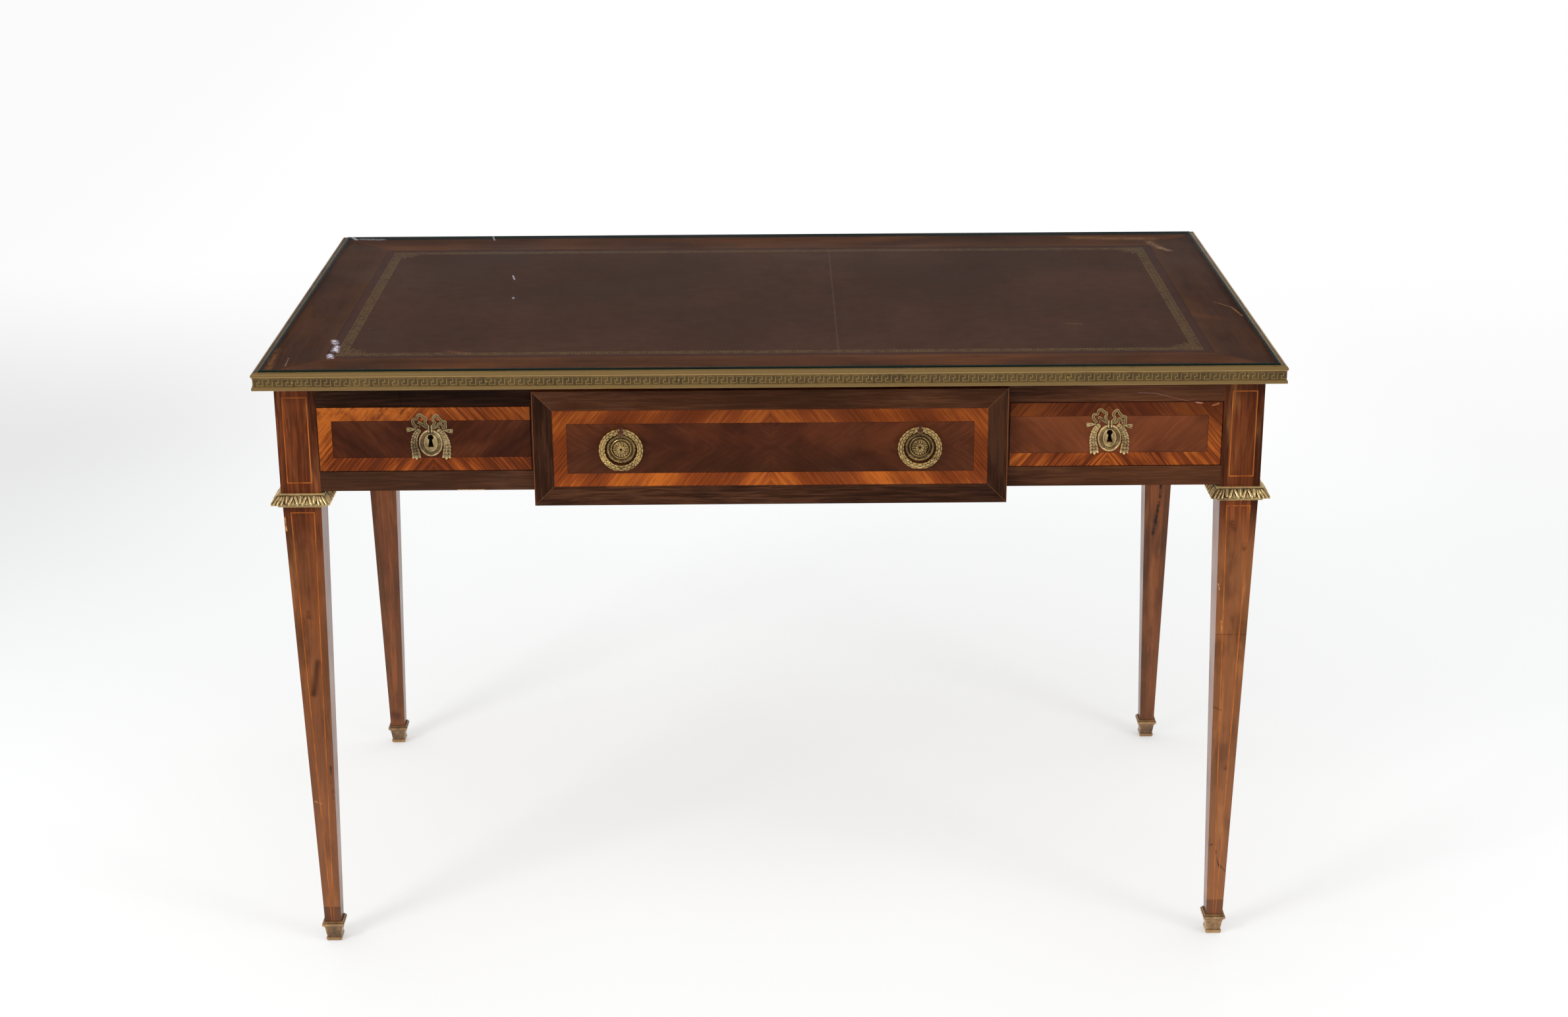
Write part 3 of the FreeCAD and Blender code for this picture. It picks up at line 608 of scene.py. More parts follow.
@dataclass
class Legs:
    """Veneers of the four legs: a strung panel inside a darker edge, and a darker cuff at the foot."""

    ages: tuple[LegAge, ...] = (
        LegAge(1.7, 0.16, 0.0, 0.62, LEFT_MARKS), LegAge(4.0, 0.44, 0.38, 0.5, RIGHT_MARKS),
        LegAge(6.3, 0.0, 0.1, 0.0, SPOT_MARKS), LegAge(8.6, 0.04, 0.1, 0.0, KNOT_MARKS))
    string_inset: float = 0.0082
    string_edge: float = 0.0002
    cuff_top: float = 0.049
    foot_half: float = 0.0103
    shoulder_half: float = 0.02325
    stile_half: float = 0.024
    foot_level: float = 0.028
    shoulder_level: float = 0.6001
    pale: Tone = Tone(150, 94, 56)
    palest: Tone = Tone(176, 116, 72)
    foot_light_tone: Tone = Tone(126, 80, 46)
    stained: Tone = Tone(64, 36, 20)
    gleaming: Tone = Tone(178, 114, 62)
    stile_shade: Tone = Tone(60, 26, 10)
    cuff_shade: Tone = Tone(66, 34, 22)

    def inset(self, off: Value, z: Value) -> Value:
        """How far a point at a distance from the leg's middle line lies inside its edge.

        Args:
            off: the distance from the middle line.
            z: the level.
        Returns:
            The distance from the edge, in metres.
        """
        slope = (self.shoulder_half - self.foot_half) / (self.shoulder_level - self.foot_level)
        taper = self.foot_half + (z - self.foot_level) * slope
        in_stile = z > self.shoulder_level
        return taper * (1 - in_stile) + in_stile * self.stile_half - off

    def aged(self, graph: Graph, colour: object, age: LegAge, beside: Value, inward: Value,
             z: Value) -> bpy.types.NodeSocket:
        """Pales and stains the leg's wood, with painted light towards the foot and painted shade on the
        stile.

        Args:
            graph: the leg's tree.
            colour: the fresh wood.
            age: how the leg has aged.
            beside: the place along X from the leg's middle.
            inward: the place along Y from it.
            z: the level.
        Returns:
            The aged colour.
        """
        depth = graph.noise(beside * 30 + age.seed, inward * 30, z * 4, 2.0)
        # Paler below half a metre by the leg's fade, and paler still towards the foot, which is painted light
        # reflected from the floor.
        faded_and_foot_light = z.rise(0.6, 0.5) * age.faded + z.rise(0.36, 0.1) * 0.16
        colour = graph.mix(faded_and_foot_light, colour, graph.mix(depth, self.pale, self.palest))
        # Painted light: lighter and duller below 0.4 to 0.6 metres.
        colour = graph.mix(z.rise(0.6, 0.4) * 0.3, colour, self.foot_light_tone)
        stain = graph.noise(beside * 40 + age.seed, inward * 40, z * 14, 3.0, 0.6)
        colour = graph.mix(stain.rise(0.48, 0.7) * 0.46, colour, self.stained)
        gleam = graph.noise(beside * 70, inward * 70 + age.seed, z * 9, 3.0, 0.6)
        colour = graph.mix(gleam.rise(0.52, 0.74) * (0.18 + age.faded), colour, self.gleaming)
        # Painted shade on the stile.
        return graph.mix((z > self.shoulder_level) * age.shaded, colour, self.stile_shade)

    def veneer(self, node: str, age: LegAge) -> None:
        """Veneers one leg, whose grain starts at the age's seed, in metres along the log.

        Args:
            node: the leg's node.
            age: how it has aged.
        """
        middle = middle_of(node)
        graph = Graph.named(node + "_veneer")
        x, y, z = graph.place()
        beside = x - middle.x
        inward = y - middle.y
        on_side = abs(graph.facing()[0]) > 0.7
        inset = self.inset(abs(inward * on_side + beside * (1 - on_side)), z)
        inside = inset.rise(self.string_inset, self.string_inset + self.string_edge)
        axes = (z + age.seed, beside + age.seed * 2, inward + age.seed * 3)
        panel, height = LEG_WOOD.figure(graph, *axes)
        edge, _ = LEG_EDGE.figure(graph, *axes)
        colour = self.aged(graph, graph.mix(inside, edge, panel), age, beside, inward, z)
        colour = marked(graph, colour, age.marks, x, z)
        colour = graph.mix((z < self.cuff_top) * age.cuffed, colour, self.cuff_shade)
        give(node, LEG_WOOD.polish(graph, colour, height))

    def dress(self) -> None:
        """Gives each leg its veneer."""
        for corner, age in zip(CORNERS, self.ages):
            self.veneer("leg_" + corner, age)
            LOG.info("leg_%s veneered", corner)


@dataclass
class Frieze:
    """Veneers of the rails, the aprons and the drawer fronts."""

    banding_width: float = 0.0165
    panel_inset: float = 0.018
    apron_slant: float = 48.0
    side_match: float = 0.4017
    rail_joint: float = -0.4372
    seam: float = 0.0004
    mitre_width: float = 0.0007
    edge_width: float = 0.0011
    # Darker polish, and painted shade where a banding darkens towards the top.
    polish_and_shade: Tone = Tone(84, 38, 12)
    rail_light: Tone = Tone(120, 70, 40)
    seam_light: Tone = Tone(120, 70, 34)
    border_light: Tone = Tone(90, 50, 24)
    border_dark: Tone = Tone(40, 20, 10)
    mitre: Tone = Tone(112, 74, 44)
    worn_edge: Tone = Tone(134, 74, 38)
    scratch: tuple[Mark, ...] = (
        Mark((418, 724.4), (436, 726.4), 0.7, Tone(110, 76, 62), 0.4),
        Mark((436, 726.4), (456, 725.6), 0.8, Tone(150, 116, 104), 0.6),
        Mark((456, 725.6), (473.5, 721), 0.8, Tone(150, 112, 98), 0.6),
        Mark((473.5, 721), (488, 717.2), 0.9, Tone(140, 92, 78), 0.55),
        Mark((488, 717.2), (504, 714.2), 0.9, Tone(150, 92, 74), 0.55),
        Mark((505, 713.9), (512, 713.0), 1.4, Tone(198, 134, 112), 0.7),
        Mark((524.8, 710), (531.7, 712.2), 1.7, Tone(190, 120, 80), 0.6))
    chip: Mark = Mark((-374, 611), (-343, 611), 1.6, Tone(196, 150, 112), 0.8)
    # Painted sheen: a soft reddish reflection across the middle of the centre field.
    painted_sheen: tuple[Mark, ...] = (Mark((50, 684), (170, 676), 44.0, Tone(124, 60, 28), 0.2, 60.0),
                                Mark((-90, 684), (-40, 684), 36.0, Tone(124, 60, 28), 0.16, 60.0))
    # Painted light on the top left of the left drawer's banding.
    painted_glow: tuple[Mark, ...] = (Mark((-530, 712), (-440, 712), 30.0, Tone(206, 112, 34), 0.34, 14.0),
                              Mark((-548, 640), (-548, 720), 26.0, Tone(206, 112, 34), 0.3, 14.0))

    def rail(self, node: str, joint: float, shade: Tone, share: float, marks: Sequence[Mark]) -> None:
        """Lays dark veneer along a rail, with a joint where two leaves meet.

        Args:
            node: the rail's node.
            joint: where the leaves meet, along X.
            shade: the tone that its left part runs to: painted shade on the top rail, under the top's
                overhang, and painted light on the lower rail.
            share: how far it has on the left.
            marks: its scratches and chips.
        """
        graph = Graph.named(node + "_veneer")
        x, _, z = graph.place()
        colour, height = DARK_VENEER.figure(graph, *Laying(Lay.LENGTHWISE, shift=joint).axes(graph))
        # Painted shade or painted light on the rail's left part.
        colour = graph.mix(x.rise(0.3, 0.0) * share, colour, shade)
        colour = graph.mix(x.rise(0.2, 0.5) * 0.3, colour, self.rail_light)
        colour = graph.mix(x.line(joint, self.seam * 2) * 0.7, colour, DARK_VENEER.streak)
        colour = marked(graph, colour, marks, x, z)
        give(node, DARK_VENEER.polish(graph, colour, height))

    def apron(self, node: str, inward: bool) -> None:
        """Veneers a side or back apron: dark rails above and below a banded panel.

        Args:
            node: the apron's node.
            inward: whether the apron runs along Y.
        """
        _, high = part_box(node)
        side_low, side_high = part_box("drawer_left_front")
        graph = Graph.named(node + "_veneer")
        x, y, z = graph.place()
        run = y if inward else x
        reach = (high.y if inward else high.x) - self.panel_inset
        lay = Lay.INWARD if inward else Lay.LENGTHWISE
        rails, height = DARK_VENEER.figure(graph, *Laying(lay, shift=side_high.x).axes(graph))
        aside = abs(run)
        above = abs(z - (side_low.z + side_high.z) / 2)
        depth = x if inward else y
        field, _ = FIELD_VENEER.figure(graph, *graph.turned(aside, above, self.apron_slant), depth)
        banding, _ = TULIPWOOD.figure(graph, *graph.turned(aside, above, -self.apron_slant), depth)
        edge = (reach - aside).least((side_high.z - side_low.z) / 2 - above)
        colour = graph.mix(edge > self.banding_width, banding, field)
        colour = graph.mix(edge > 0, rails, colour)
        colour = graph.mix(edge.line(0, self.seam) * 0.5, colour, self.seam_light)
        give(node, DARK_VENEER.polish(graph, colour, height))

    def border(self, node: str) -> None:
        """Veneers the dark mitred border, upright at its ends, with its mitres showing.

        Args:
            node: the border's node.
        """
        low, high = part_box(node)
        graph = Graph.named(node + "_veneer")
        x, _, z = graph.place()
        aside = high.x - abs(x)
        above = (z - low.z).least(high.z - z)
        upright = aside < above
        level, height = DARK_VENEER.figure(graph, *Laying(Lay.LENGTHWISE, shift=0.31).axes(graph))
        stood, _ = DARK_VENEER.figure(graph, *Laying(Lay.UPRIGHT, shift=0.57).axes(graph))
        level = graph.mix(z.rise(low.z, high.z) * 0.25, level, self.border_light)
        stood = graph.mix(x.rise(-0.1, 0.1) * 0.2 + 0.25, stood, self.border_dark)
        colour = graph.mix(upright, level, stood)
        colour = graph.mix((aside - above).line(0, self.mitre_width) * 0.5, colour, self.mitre)
        colour = graph.mix(aside.rise(0.0012, 0.0004) * 0.75, colour, self.worn_edge)
        give(node, DARK_VENEER.polish(graph, colour, height))

    def leaf(self, node: str, wood: Wood, laying: Laying, shade: Tone, shares: tuple[float, float],
             marks: Sequence[Mark] = ()) -> None:
        """Lays a matched veneer whose edges are shaded by old polish in the joints, toned from bottom to top.

        Args:
            node: the veneer's node.
            wood: its wood.
            laying: how it is laid.
            shade: the tone that it runs to, which is painted shade under the top's overhang where it darkens
                towards the top.
            shares: how far it has at the bottom edge and at the top.
            marks: its scratches, or its patches of painted light and sheen.
        """
        low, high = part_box(node)
        graph = Graph.named(node + "_veneer")
        x, y, z = graph.place()
        colour, height = wood.figure(graph, *laying.axes(graph))
        # Toned from bottom to top; a darkening towards the top is painted shade under the top's overhang.
        share = z.rise(low.z, high.z) * (shares[1] - shares[0]) + shares[0]
        colour = graph.mix(share, colour, shade)
        patch = graph.noise(x * 14 + laying.shift, y, z * 22, 2.0)
        colour = graph.mix(patch.rise(0.5, 0.72) * 0.45, colour, wood.dark)
        edge = ((x - low.x).least(high.x - x)).least((z - low.z).least(high.z - z))
        colour = graph.mix(edge.rise(self.edge_width, 0.0002) * 0.6, colour, wood.streak)
        joint = (x - laying.centre_x).line(0, self.seam)
        colour = graph.mix(joint * 0.35, colour, wood.streak)
        give(node, wood.polish(graph, marked(graph, colour, marks, x, z), height))

    def dress(self) -> None:
        """Gives the rails, aprons and drawer fronts their veneers."""
        # The top rail takes painted shade on its left, the lower rail painted light.
        self.rail("front_top_rail", self.rail_joint, Tone(30, 15, 8), 0.4, self.scratch)
        self.rail("front_lower_rail", 0.2, Tone(96, 60, 40), 0.25, (self.chip,))
        self.apron("side_apron_left", True)
        self.apron("side_apron_right", True)
        self.apron("back_apron", False)
        self.border("drawer_centre_border")
        centre = Laying(Lay.SLANTED, Match.QUARTER, 0.0, middle_of("drawer_centre_field").z, 33.0, 0.4)
        calm = replace(FIELD_VENEER, contrast=0.2, streaks=0.4)
        self.leaf("drawer_centre_field", calm, centre, Tone(54, 32, 18), (0.36, 0.1), self.painted_sheen)
        centre = replace(centre, match=Match.BOOK, slant=-52.0, shift=0.9)
        even = replace(TULIPWOOD, contrast=0.35, streaks=0.5)
        # Painted shade: the bandings darken towards the top, under the top's overhang.
        self.leaf("drawer_centre_banding", even, centre, self.polish_and_shade, (0.24, 0.54))
        for side, sign, shade, shares, marks, lit in (
                ("left", -1, self.polish_and_shade, (0.34, 0.54), self.painted_glow, Tone(70, 32, 14)),
                ("right", 1, Tone(70, 30, 12), (0.3, 0.84), self.scratch, Tone(156, 82, 42))):
            laying = replace(centre, centre_x=sign * self.side_match, slant=-50.0, shift=1.3 + sign)
            self.leaf(f"drawer_{side}_banding", TULIPWOOD, laying, shade, shares, marks)
            laying = replace(laying, slant=46.0, shift=2.2 + sign)
            self.leaf(f"drawer_{side}_field", FIELD_VENEER, laying, lit, (0.22, 0.34))
        LOG.info("rails, aprons and drawer fronts veneered")


@dataclass
class PlainWood:
    """Boards inside the desk and the solid fronts behind the veneer."""

    inward: tuple[str, ...] = ("drawer_left_sides_and_back", "drawer_right_sides_and_back",
                               "drawer_centre_sides_and_back", "drawer_runners_and_guides",
                               "drawer_kickers")
    lengthwise: tuple[str, ...] = ("drawer_left_bottom", "drawer_right_bottom", "drawer_centre_bottom",
                                   "glue_blocks", "top_panel")
    fronts: tuple[str, ...] = ("drawer_left_front", "drawer_right_front", "drawer_centre_front")
    divider_grain: float = 5.5
    edging: float = 0.012

    def dress(self) -> None:
        """Gives the boards their oak and the fronts their mahogany."""
        for nodes, wood, finish, lay, step in ((self.inward, OAK, "_oak", Lay.INWARD, 1.1),
                                               (self.lengthwise, OAK, "_oak", Lay.LENGTHWISE, 1.3),
                                               (self.fronts, LEG_WOOD, "_core", Lay.LENGTHWISE, 0.7)):
            for number, node in enumerate(nodes):
                give(node, wood.sheet(node + finish, Laying(lay, shift=number * step)))
        self.edged("drawer_dividers")
        give("stringing", STRING_WOOD.sheet("stringing_lines", Laying(Lay.UPRIGHT)))
        LOG.info("inner boards dressed")

    def edged(self, node: str) -> None:
        """Gives a board oak, with dark veneer on its front edge.

        Args:
            node: the board's node.
        """
        low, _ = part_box(node)
        graph = Graph.named(node + "_wood")
        _, y, _ = graph.place()
        board, height = OAK.figure(graph, *Laying(Lay.INWARD, shift=self.divider_grain).axes(graph))
        edge, _ = DARK_VENEER.figure(graph, *Laying(Lay.UPRIGHT, shift=self.divider_grain).axes(graph))
        give(node, OAK.polish(graph, graph.mix(y < low.y + self.edging, board, edge), height))


# Top

@dataclass
class Top:
    """Writing surface: mitred border, tooled leather and the glass over them."""

    band_outset: float = 0.011
    band_width: float = 0.0125
    scallop_pitch: float = 0.0085
    arch_foot: float = 0.0032
    arch_radius: float = 0.0036
    dot_radius: float = 0.0012
    tool_width: float = 0.0011
    fillet: float = 0.0009
    spray_reach: float = 0.03
    crease: float = 0.083
    crease_width: float = 0.0012
    joint_width: float = 0.0009
    painted_edge_width: float = 0.0052
    faded: Tone = Tone(110, 60, 32)
    side_shade: Tone = Tone(62, 35, 25)
    rubbed: Tone = Tone(112, 68, 42)
    joint: Tone = Tone(44, 24, 16)
    hide: tuple[tuple[float, Tone], ...] = ((0.36, Tone(74, 44, 33)), (0.5, Tone(84, 51, 39)),
                                            (0.66, Tone(95, 60, 47)))
    hide_edge: Tone = Tone(82, 50, 50)
    hide_crease: Tone = Tone(130, 104, 98)
    gold: Tone = Tone(122, 92, 52)
    milk: Tone = Tone(226, 218, 230)
    clear: Tone = Tone(252, 254, 253)
    dark_green: Tone = Tone(8, 20, 18)
    green: Tone = Tone(18, 40, 34)
    scuffs: tuple[Mark, ...] = (
        Mark((-531, -213), (-527, -228), 6.0, Tone(226, 218, 230), 0.62, 5.0),
        Mark((-524, -240), (-523, -262), 6.4, Tone(226, 218, 230), 0.66, 5.0),
        Mark((-520, -256), (-519, -266), 3.4, Tone(226, 218, 230), 0.6, 4.0),
        Mark((-526, -277), (-523, -292), 6.0, Tone(226, 218, 230), 0.62, 5.0),
        Mark((-592, 341), (-584, 326), 4.0, Tone(200, 190, 190), 0.5, 3.0),
        Mark((-577, 330), (-548, 326), 8.0, Tone(150, 150, 136), 0.2, 4.0),
        Mark((-394, 349), (-388, 318), 2.0, Tone(200, 186, 176), 0.35, 3.0),
        Mark((-343, 110), (-339, 88), 2.0, Tone(220, 214, 220), 0.5, 2.0),
        Mark((-331.5, -8), (-331.5, -13), 2.6, Tone(210, 200, 230), 0.5, 2.0))
    wear: tuple[Mark, ...] = (
        Mark((-388, -248), (-366, -259), 7.0, Tone(150, 90, 66), 0.45, 5.0),
        Mark((372, -138), (388, -142), 4.0, Tone(150, 98, 80), 0.5, 4.0),
        Mark((-592, -350), (-598, -235), 9.0, Tone(168, 106, 66), 0.5, 8.0),
        Mark((432, 328), (540, 318), 14.0, Tone(172, 124, 84), 0.42, 9.0),
        Mark((536, 300), (546, 262), 10.0, Tone(172, 128, 92), 0.5, 7.0),
        Mark((546, 262), (556, 246), 8.0, Tone(190, 146, 110), 0.5, 5.0),
        Mark((-576, -276), (-574.5, -310), 1.4, Tone(190, 150, 120), 0.5, 3.0),
        Mark((572, -39), (589.5, -66), 1.6, Tone(214, 140, 86), 0.6, 4.0),
        Mark((589.5, -66), (596, -109), 1.8, Tone(220, 150, 96), 0.7, 4.0),
        Mark((520, -90), (560, -120), 20.0, Tone(120, 66, 38), 0.5, 12.0))

    def border(self, node: str, lay: Lay, shift: float) -> None:
        """Finishes a border board, lighter towards the leather and worn pale in patches.

        Args:
            node: the board's node.
            lay: which way it runs.
            shift: where its grain starts.
        """
        graph = Graph.named(node + "_veneer")
        x, y, z = graph.place()
        colour, height = BORDER_WOOD.figure(graph, *Laying(lay, shift=shift).axes(graph))
        clouds = graph.noise(x * 9 + shift, y * 9, z, 3.0, 0.6)
        colour = graph.mix(clouds.rise(0.45, 0.7) * 0.4, colour, self.faded)
        if lay is Lay.INWARD:
            colour = graph.mix(0.55, colour, self.side_shade)
        _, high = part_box("leather_inset")
        near = (abs(x) - high.x).most(abs(y) - high.y)
        colour = graph.mix(near.rise(0.02, 0.0) * 0.3, colour, self.rubbed)
        joint = ((abs(x) - high.x) - (abs(y) - high.y)).line(0, self.joint_width)
        colour = graph.mix(joint * 0.6, colour, self.joint)
        colour = marked(graph, colour, self.wear, x, y)
        give(node, BORDER_WOOD.polish(graph, colour, height))

    def leather(self) -> bpy.types.Material:
        """Old leather with a tooled gilt band, corner sprays, a crease and scuffs.

        Returns:
            The material.
        """
        _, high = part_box("leather_inset")
        graph = Graph.named("tooled_leather")
        x, y, z = graph.place()
        from_side = high.x - abs(x)
        from_end = high.y - abs(y)
        edge = from_side.least(from_end)
        beside = from_side < from_end
        run = (y * beside + x * (1 - beside)).cycle(self.scallop_pitch)
        inward = edge - self.band_outset
        clouds = graph.noise(x * 5, y * 5, z, 4.0, 0.6)
        mottle = graph.noise(x * 60, y * 60, z, 3.0, 0.6)
        colour = graph.ramp(clouds * 0.7 + mottle * 0.3, self.hide)
        colour = graph.mix(inward.rise(0.0, -0.003) * 0.4, colour, self.hide_edge)
        gilt = self.tooling(graph, run, inward)
        gilt = gilt.most(self.spray(graph, from_side, from_end) * 1.15)
        wear = graph.noise(x * 130, y * 130, z, 3.0, 0.7).rise(0.36, 0.56)
        colour = graph.mix(gilt * wear * 0.85, colour, self.gold)
        crease = (x + (mottle - 0.5) * 0.002).line(self.crease, self.crease_width)
        colour = graph.mix(crease * 0.25, colour, self.hide_crease)
        colour = marked(graph, colour, self.wear[:2], x, y)
        grain = graph.node("ShaderNodeTexVoronoi", {"feature": "DISTANCE_TO_EDGE"},
                           {"Scale": 900.0, "Vector": graph.output("ShaderNodeTexCoord", "Object")})
        height = Value(graph, grain.outputs["Distance"]) * 0.6 + mottle * 0.8 - gilt * 0.3 - crease * 0.5
        shader = graph.node("ShaderNodeBsdfPrincipled", None, {
            "Base Color": colour, "Roughness": 0.5 + (clouds - 0.5) * 0.3 - gilt * 0.12,
            "Specular IOR Level": 0.05, "Normal": graph.bump(height, 0.0002, 0.7)})
        return graph.close(shader)

    def tooling(self, graph: Graph, run: Value, inward: Value) -> Value:
        """The gilt band: a row of small arches with dots between two fine lines.

        Args:
            graph: the leather's tree.
            run: the place within one arch.
            inward: the distance from the band's outer edge.
        Returns:
            1 where there is gold.
        """
        above = inward - self.arch_foot
        arch = graph.apart(run, above)
        arches = arch.line(self.arch_radius, self.tool_width) * (above > 0)
        dots = arch < self.dot_radius
        across = run.cycle(self.scallop_pitch / 2)
        leaf = (abs(across) + abs(inward - 0.0092) * 0.5) < 0.0014
        fine = inward.line(0.0008, self.fillet).most(inward.line(self.band_width - 0.0006, self.fillet))
        within = (inward > 0) * (inward < self.band_width)
        return (arches.most(dots).most(leaf).most(fine) * 0.9 + 0.22) * within

    def spray(self, graph: Graph, from_side: Value, from_end: Value) -> Value:
        """Leaf sprays inside the corners of the band.

        Args:
            graph: the leather's tree.
            from_side: the distance from the leather's side.
            from_end: the distance from its front or back.
        Returns:
            1 where there is gold.
        """
        aside = from_side - (self.band_outset + self.band_width)
        below = from_end - (self.band_outset + self.band_width)
        reach = graph.apart(aside, below)
        turn = graph.math("ARCTAN2", below, aside)
        lobes = abs(graph.math("SINE", turn * 6))
        leaf = reach < (lobes * 0.6 + 0.4) * self.spray_reach * 0.8
        veins = graph.math("SINE", reach * 2400) > -0.2
        return leaf * veins * (aside > 0) * (below > 0) * (reach > 0.002)

    def sheet(self) -> None:
        """Glass sheet a little proud of its brass rim, with eased edges."""
        low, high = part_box("glass_sheet")
        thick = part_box("edge_moulding_front")[1].z - low.z
        shape = Shape("glass_top", Primitive.PLANE, size=1.0, location=(0, 0, 0))
        shape.scale((high.x - low.x, high.y - low.y, 1))
        shape.move((0, 0, low.z))
        shape.extrude((0, 0, thick))
        shape.pick(Kind.EDGE, lambda at, run: at.z > low.z + thick / 2)
        bpy.ops.mesh.bevel(offset=0.7 * MM, segments=3)
        glass = shape.done()
        glass.data.materials.append(self.glass())
        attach(glass, "frame")
        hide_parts("glass_sheet")

    def glass(self) -> bpy.types.Material:
        """Clear sheet glass, dark green at its edges and, as painted shade and reflection of the edge, in a
        band round its upper face, with scuffs and specks on its upper face.

        Returns:
            The material.
        """
        _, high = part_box("glass_sheet")
        graph = Graph.named("sheet_glass")
        _, _, up = graph.facing()
        x, y, z = graph.place()
        on_top = (up > 0.5) * (1 - graph.output("ShaderNodeNewGeometry", "Backfacing"))
        smears = graph.noise(x * 6, y * 6, z * 6, 4.0, 0.65)
        clear = graph.node("ShaderNodeBsdfTransparent", None, {"Color": self.clear})
        shine = graph.node("ShaderNodeBsdfGlossy", None, {"Color": WHITE, "Roughness": 0.03 + smears * 0.1})
        gloss = Value(graph, graph.node("ShaderNodeFresnel", None, {"IOR": 1.45}).outputs[0])
        edge = graph.node("ShaderNodeBsdfPrincipled", None, {
            "Base Color": graph.mix(smears, self.dark_green, self.green), "Roughness": 0.2})
        inward = (high.x - abs(x)).least(high.y - abs(y))
        # Painted shade and reflection: the edge's dark green laid on a band round the upper face.
        rim = inward.rise(self.painted_edge_width, 0.0022) * on_top * 0.92
        milk = graph.node("ShaderNodeBsdfDiffuse", None, {"Color": self.milk})
        cloud = graph.noise(x / 0.0022, y / 0.0022, z, 1.0).rise(0.79, 0.83) * 0.5
        for mark in self.scuffs:
            cloud = cloud.most(mark.cover(graph, x, y))
        sheet = graph.blend(gloss * on_top, clear, shine)
        sheet = graph.blend(rim.most(abs(up) < 0.8), sheet, edge)
        return graph.close(graph.blend(cloud * on_top, sheet, milk))

    def dress(self) -> None:
        """Gives the top its woods, leather and glass."""
        self.border("top_border_front", Lay.LENGTHWISE, 0.2)
        self.border("top_border_back", Lay.LENGTHWISE, 3.1)
        self.border("top_border_sides", Lay.INWARD, 1.4)
        give("leather_inset", self.leather())
        self.sheet()
        LOG.info("top dressed")


# Brass and steel

@dataclass(frozen=True)
class Metal:
    """An old metal: dark in its hollows with patina and painted shade, bright on what stands up with wear and
    painted highlights.
    """

    name: str
    # hollow holds patina and painted shade; worn holds wear and painted highlights.
    hollow: Tone
    body: Tone
    worn: Tone
    roughness: float = 0.36
    patch: float = 0.006
    cloud: float = 28.0
    grain: float = 900.0
    relief: float = 0.0002
    metallic: float = 0.32

    def material(self) -> bpy.types.Material:
        """Builds the metal. Its attribute "stand" says how far a point stands up.

        Returns:
            The material.
        """
        graph = Graph.named(self.name)
        x, y, z = graph.place()
        stand = Value(graph, graph.node("ShaderNodeAttribute", {"attribute_name": "stand"}).outputs["Fac"])
        patches = graph.noise(x / self.patch, y / self.patch, z / self.patch, 4.0, 0.65)
        broad = graph.noise(x * self.cloud, y * self.cloud, z * self.cloud, 2.0)
        # Patina and wear, with painted shade in the hollows and painted highlights on what stands up.
        height = stand * 0.46 + 0.47 + (patches - 0.5) * 0.5 + (broad - 0.5) * 0.5
        colour = graph.ramp(height, [(0.26, self.hollow), (0.5, self.body), (0.74, self.worn)])
        fine = graph.noise(x * self.grain, y * self.grain, z * self.grain, 3.0, 0.6)
        shader = graph.node("ShaderNodeBsdfPrincipled", None, {
            "Base Color": colour, "Metallic": self.metallic + height.rise(0.45, 0.75) * 0.24,
            "Roughness": self.roughness + (0.5 - height) * 0.36 + (patches - 0.5) * 0.2,
            "Normal": graph.bump(fine * 0.5 + patches * 0.5, self.relief, 0.5)})
        return graph.close(shader)


GILT_BRASS = Metal("gilt_brass", Tone(70, 49, 30), Tone(134, 106, 68), Tone(248, 216, 152), 0.24)
AGED_GILT = Metal("aged_gilt", Tone(62, 47, 32), Tone(120, 97, 64), Tone(224, 196, 142), 0.3)
DULL_BRASS = Metal("dull_brass", Tone(62, 44, 30), Tone(112, 83, 56), Tone(182, 142, 97), 0.34)
BAR_BRASS = Metal("bar_brass", Tone(60, 46, 28), Tone(104, 82, 50), Tone(168, 136, 86), 0.34)
BAND_GROUND = Metal("band_ground", Tone(74, 56, 34), Tone(108, 84, 50), Tone(138, 110, 68), 0.5)
KEY_BRASS = Metal("key_brass", Tone(88, 69, 38), Tone(126, 102, 57), Tone(172, 142, 84), 0.42)
SIDE_BRASS = Metal("side_brass", Tone(44, 33, 23), Tone(76, 57, 38), Tone(132, 102, 68), 0.42)
PULL_BRASS = Metal("pull_brass", Tone(50, 35, 20), Tone(110, 83, 48), Tone(244, 208, 136), 0.24)
COPPERY = Metal("coppery_brass", Tone(30, 18, 13), Tone(60, 37, 26), Tone(112, 72, 50), 0.28)
IRON = Metal("dull_iron", Tone(40, 38, 36), Tone(84, 80, 76), Tone(128, 124, 118), 0.5)


# Bench

class Primitive(Enum):
    """What a piece is started from."""

    PLANE = "primitive_plane_add"
    GRID = "primitive_grid_add"
    CIRCLE = "primitive_circle_add"
    CYLINDER = "primitive_cylinder_add"
    TORUS = "primitive_torus_add"


class Kind(Enum):
    """What is picked in edit mode, with the mesh collection that holds it."""

    VERT = "verts"
    EDGE = "edges"
    FACE = "faces"


def select(*pieces: bpy.types.Object) -> None:
    """Leaves edit mode and selects only these pieces, the first of them active."""
    if bpy.context.mode != "OBJECT":
        bpy.ops.object.mode_set(mode="OBJECT")
    bpy.ops.object.select_all(action="DESELECT")
    for piece in pieces:
        piece.select_set(True)
    if pieces:
        bpy.context.view_layer.objects.active = pieces[0]


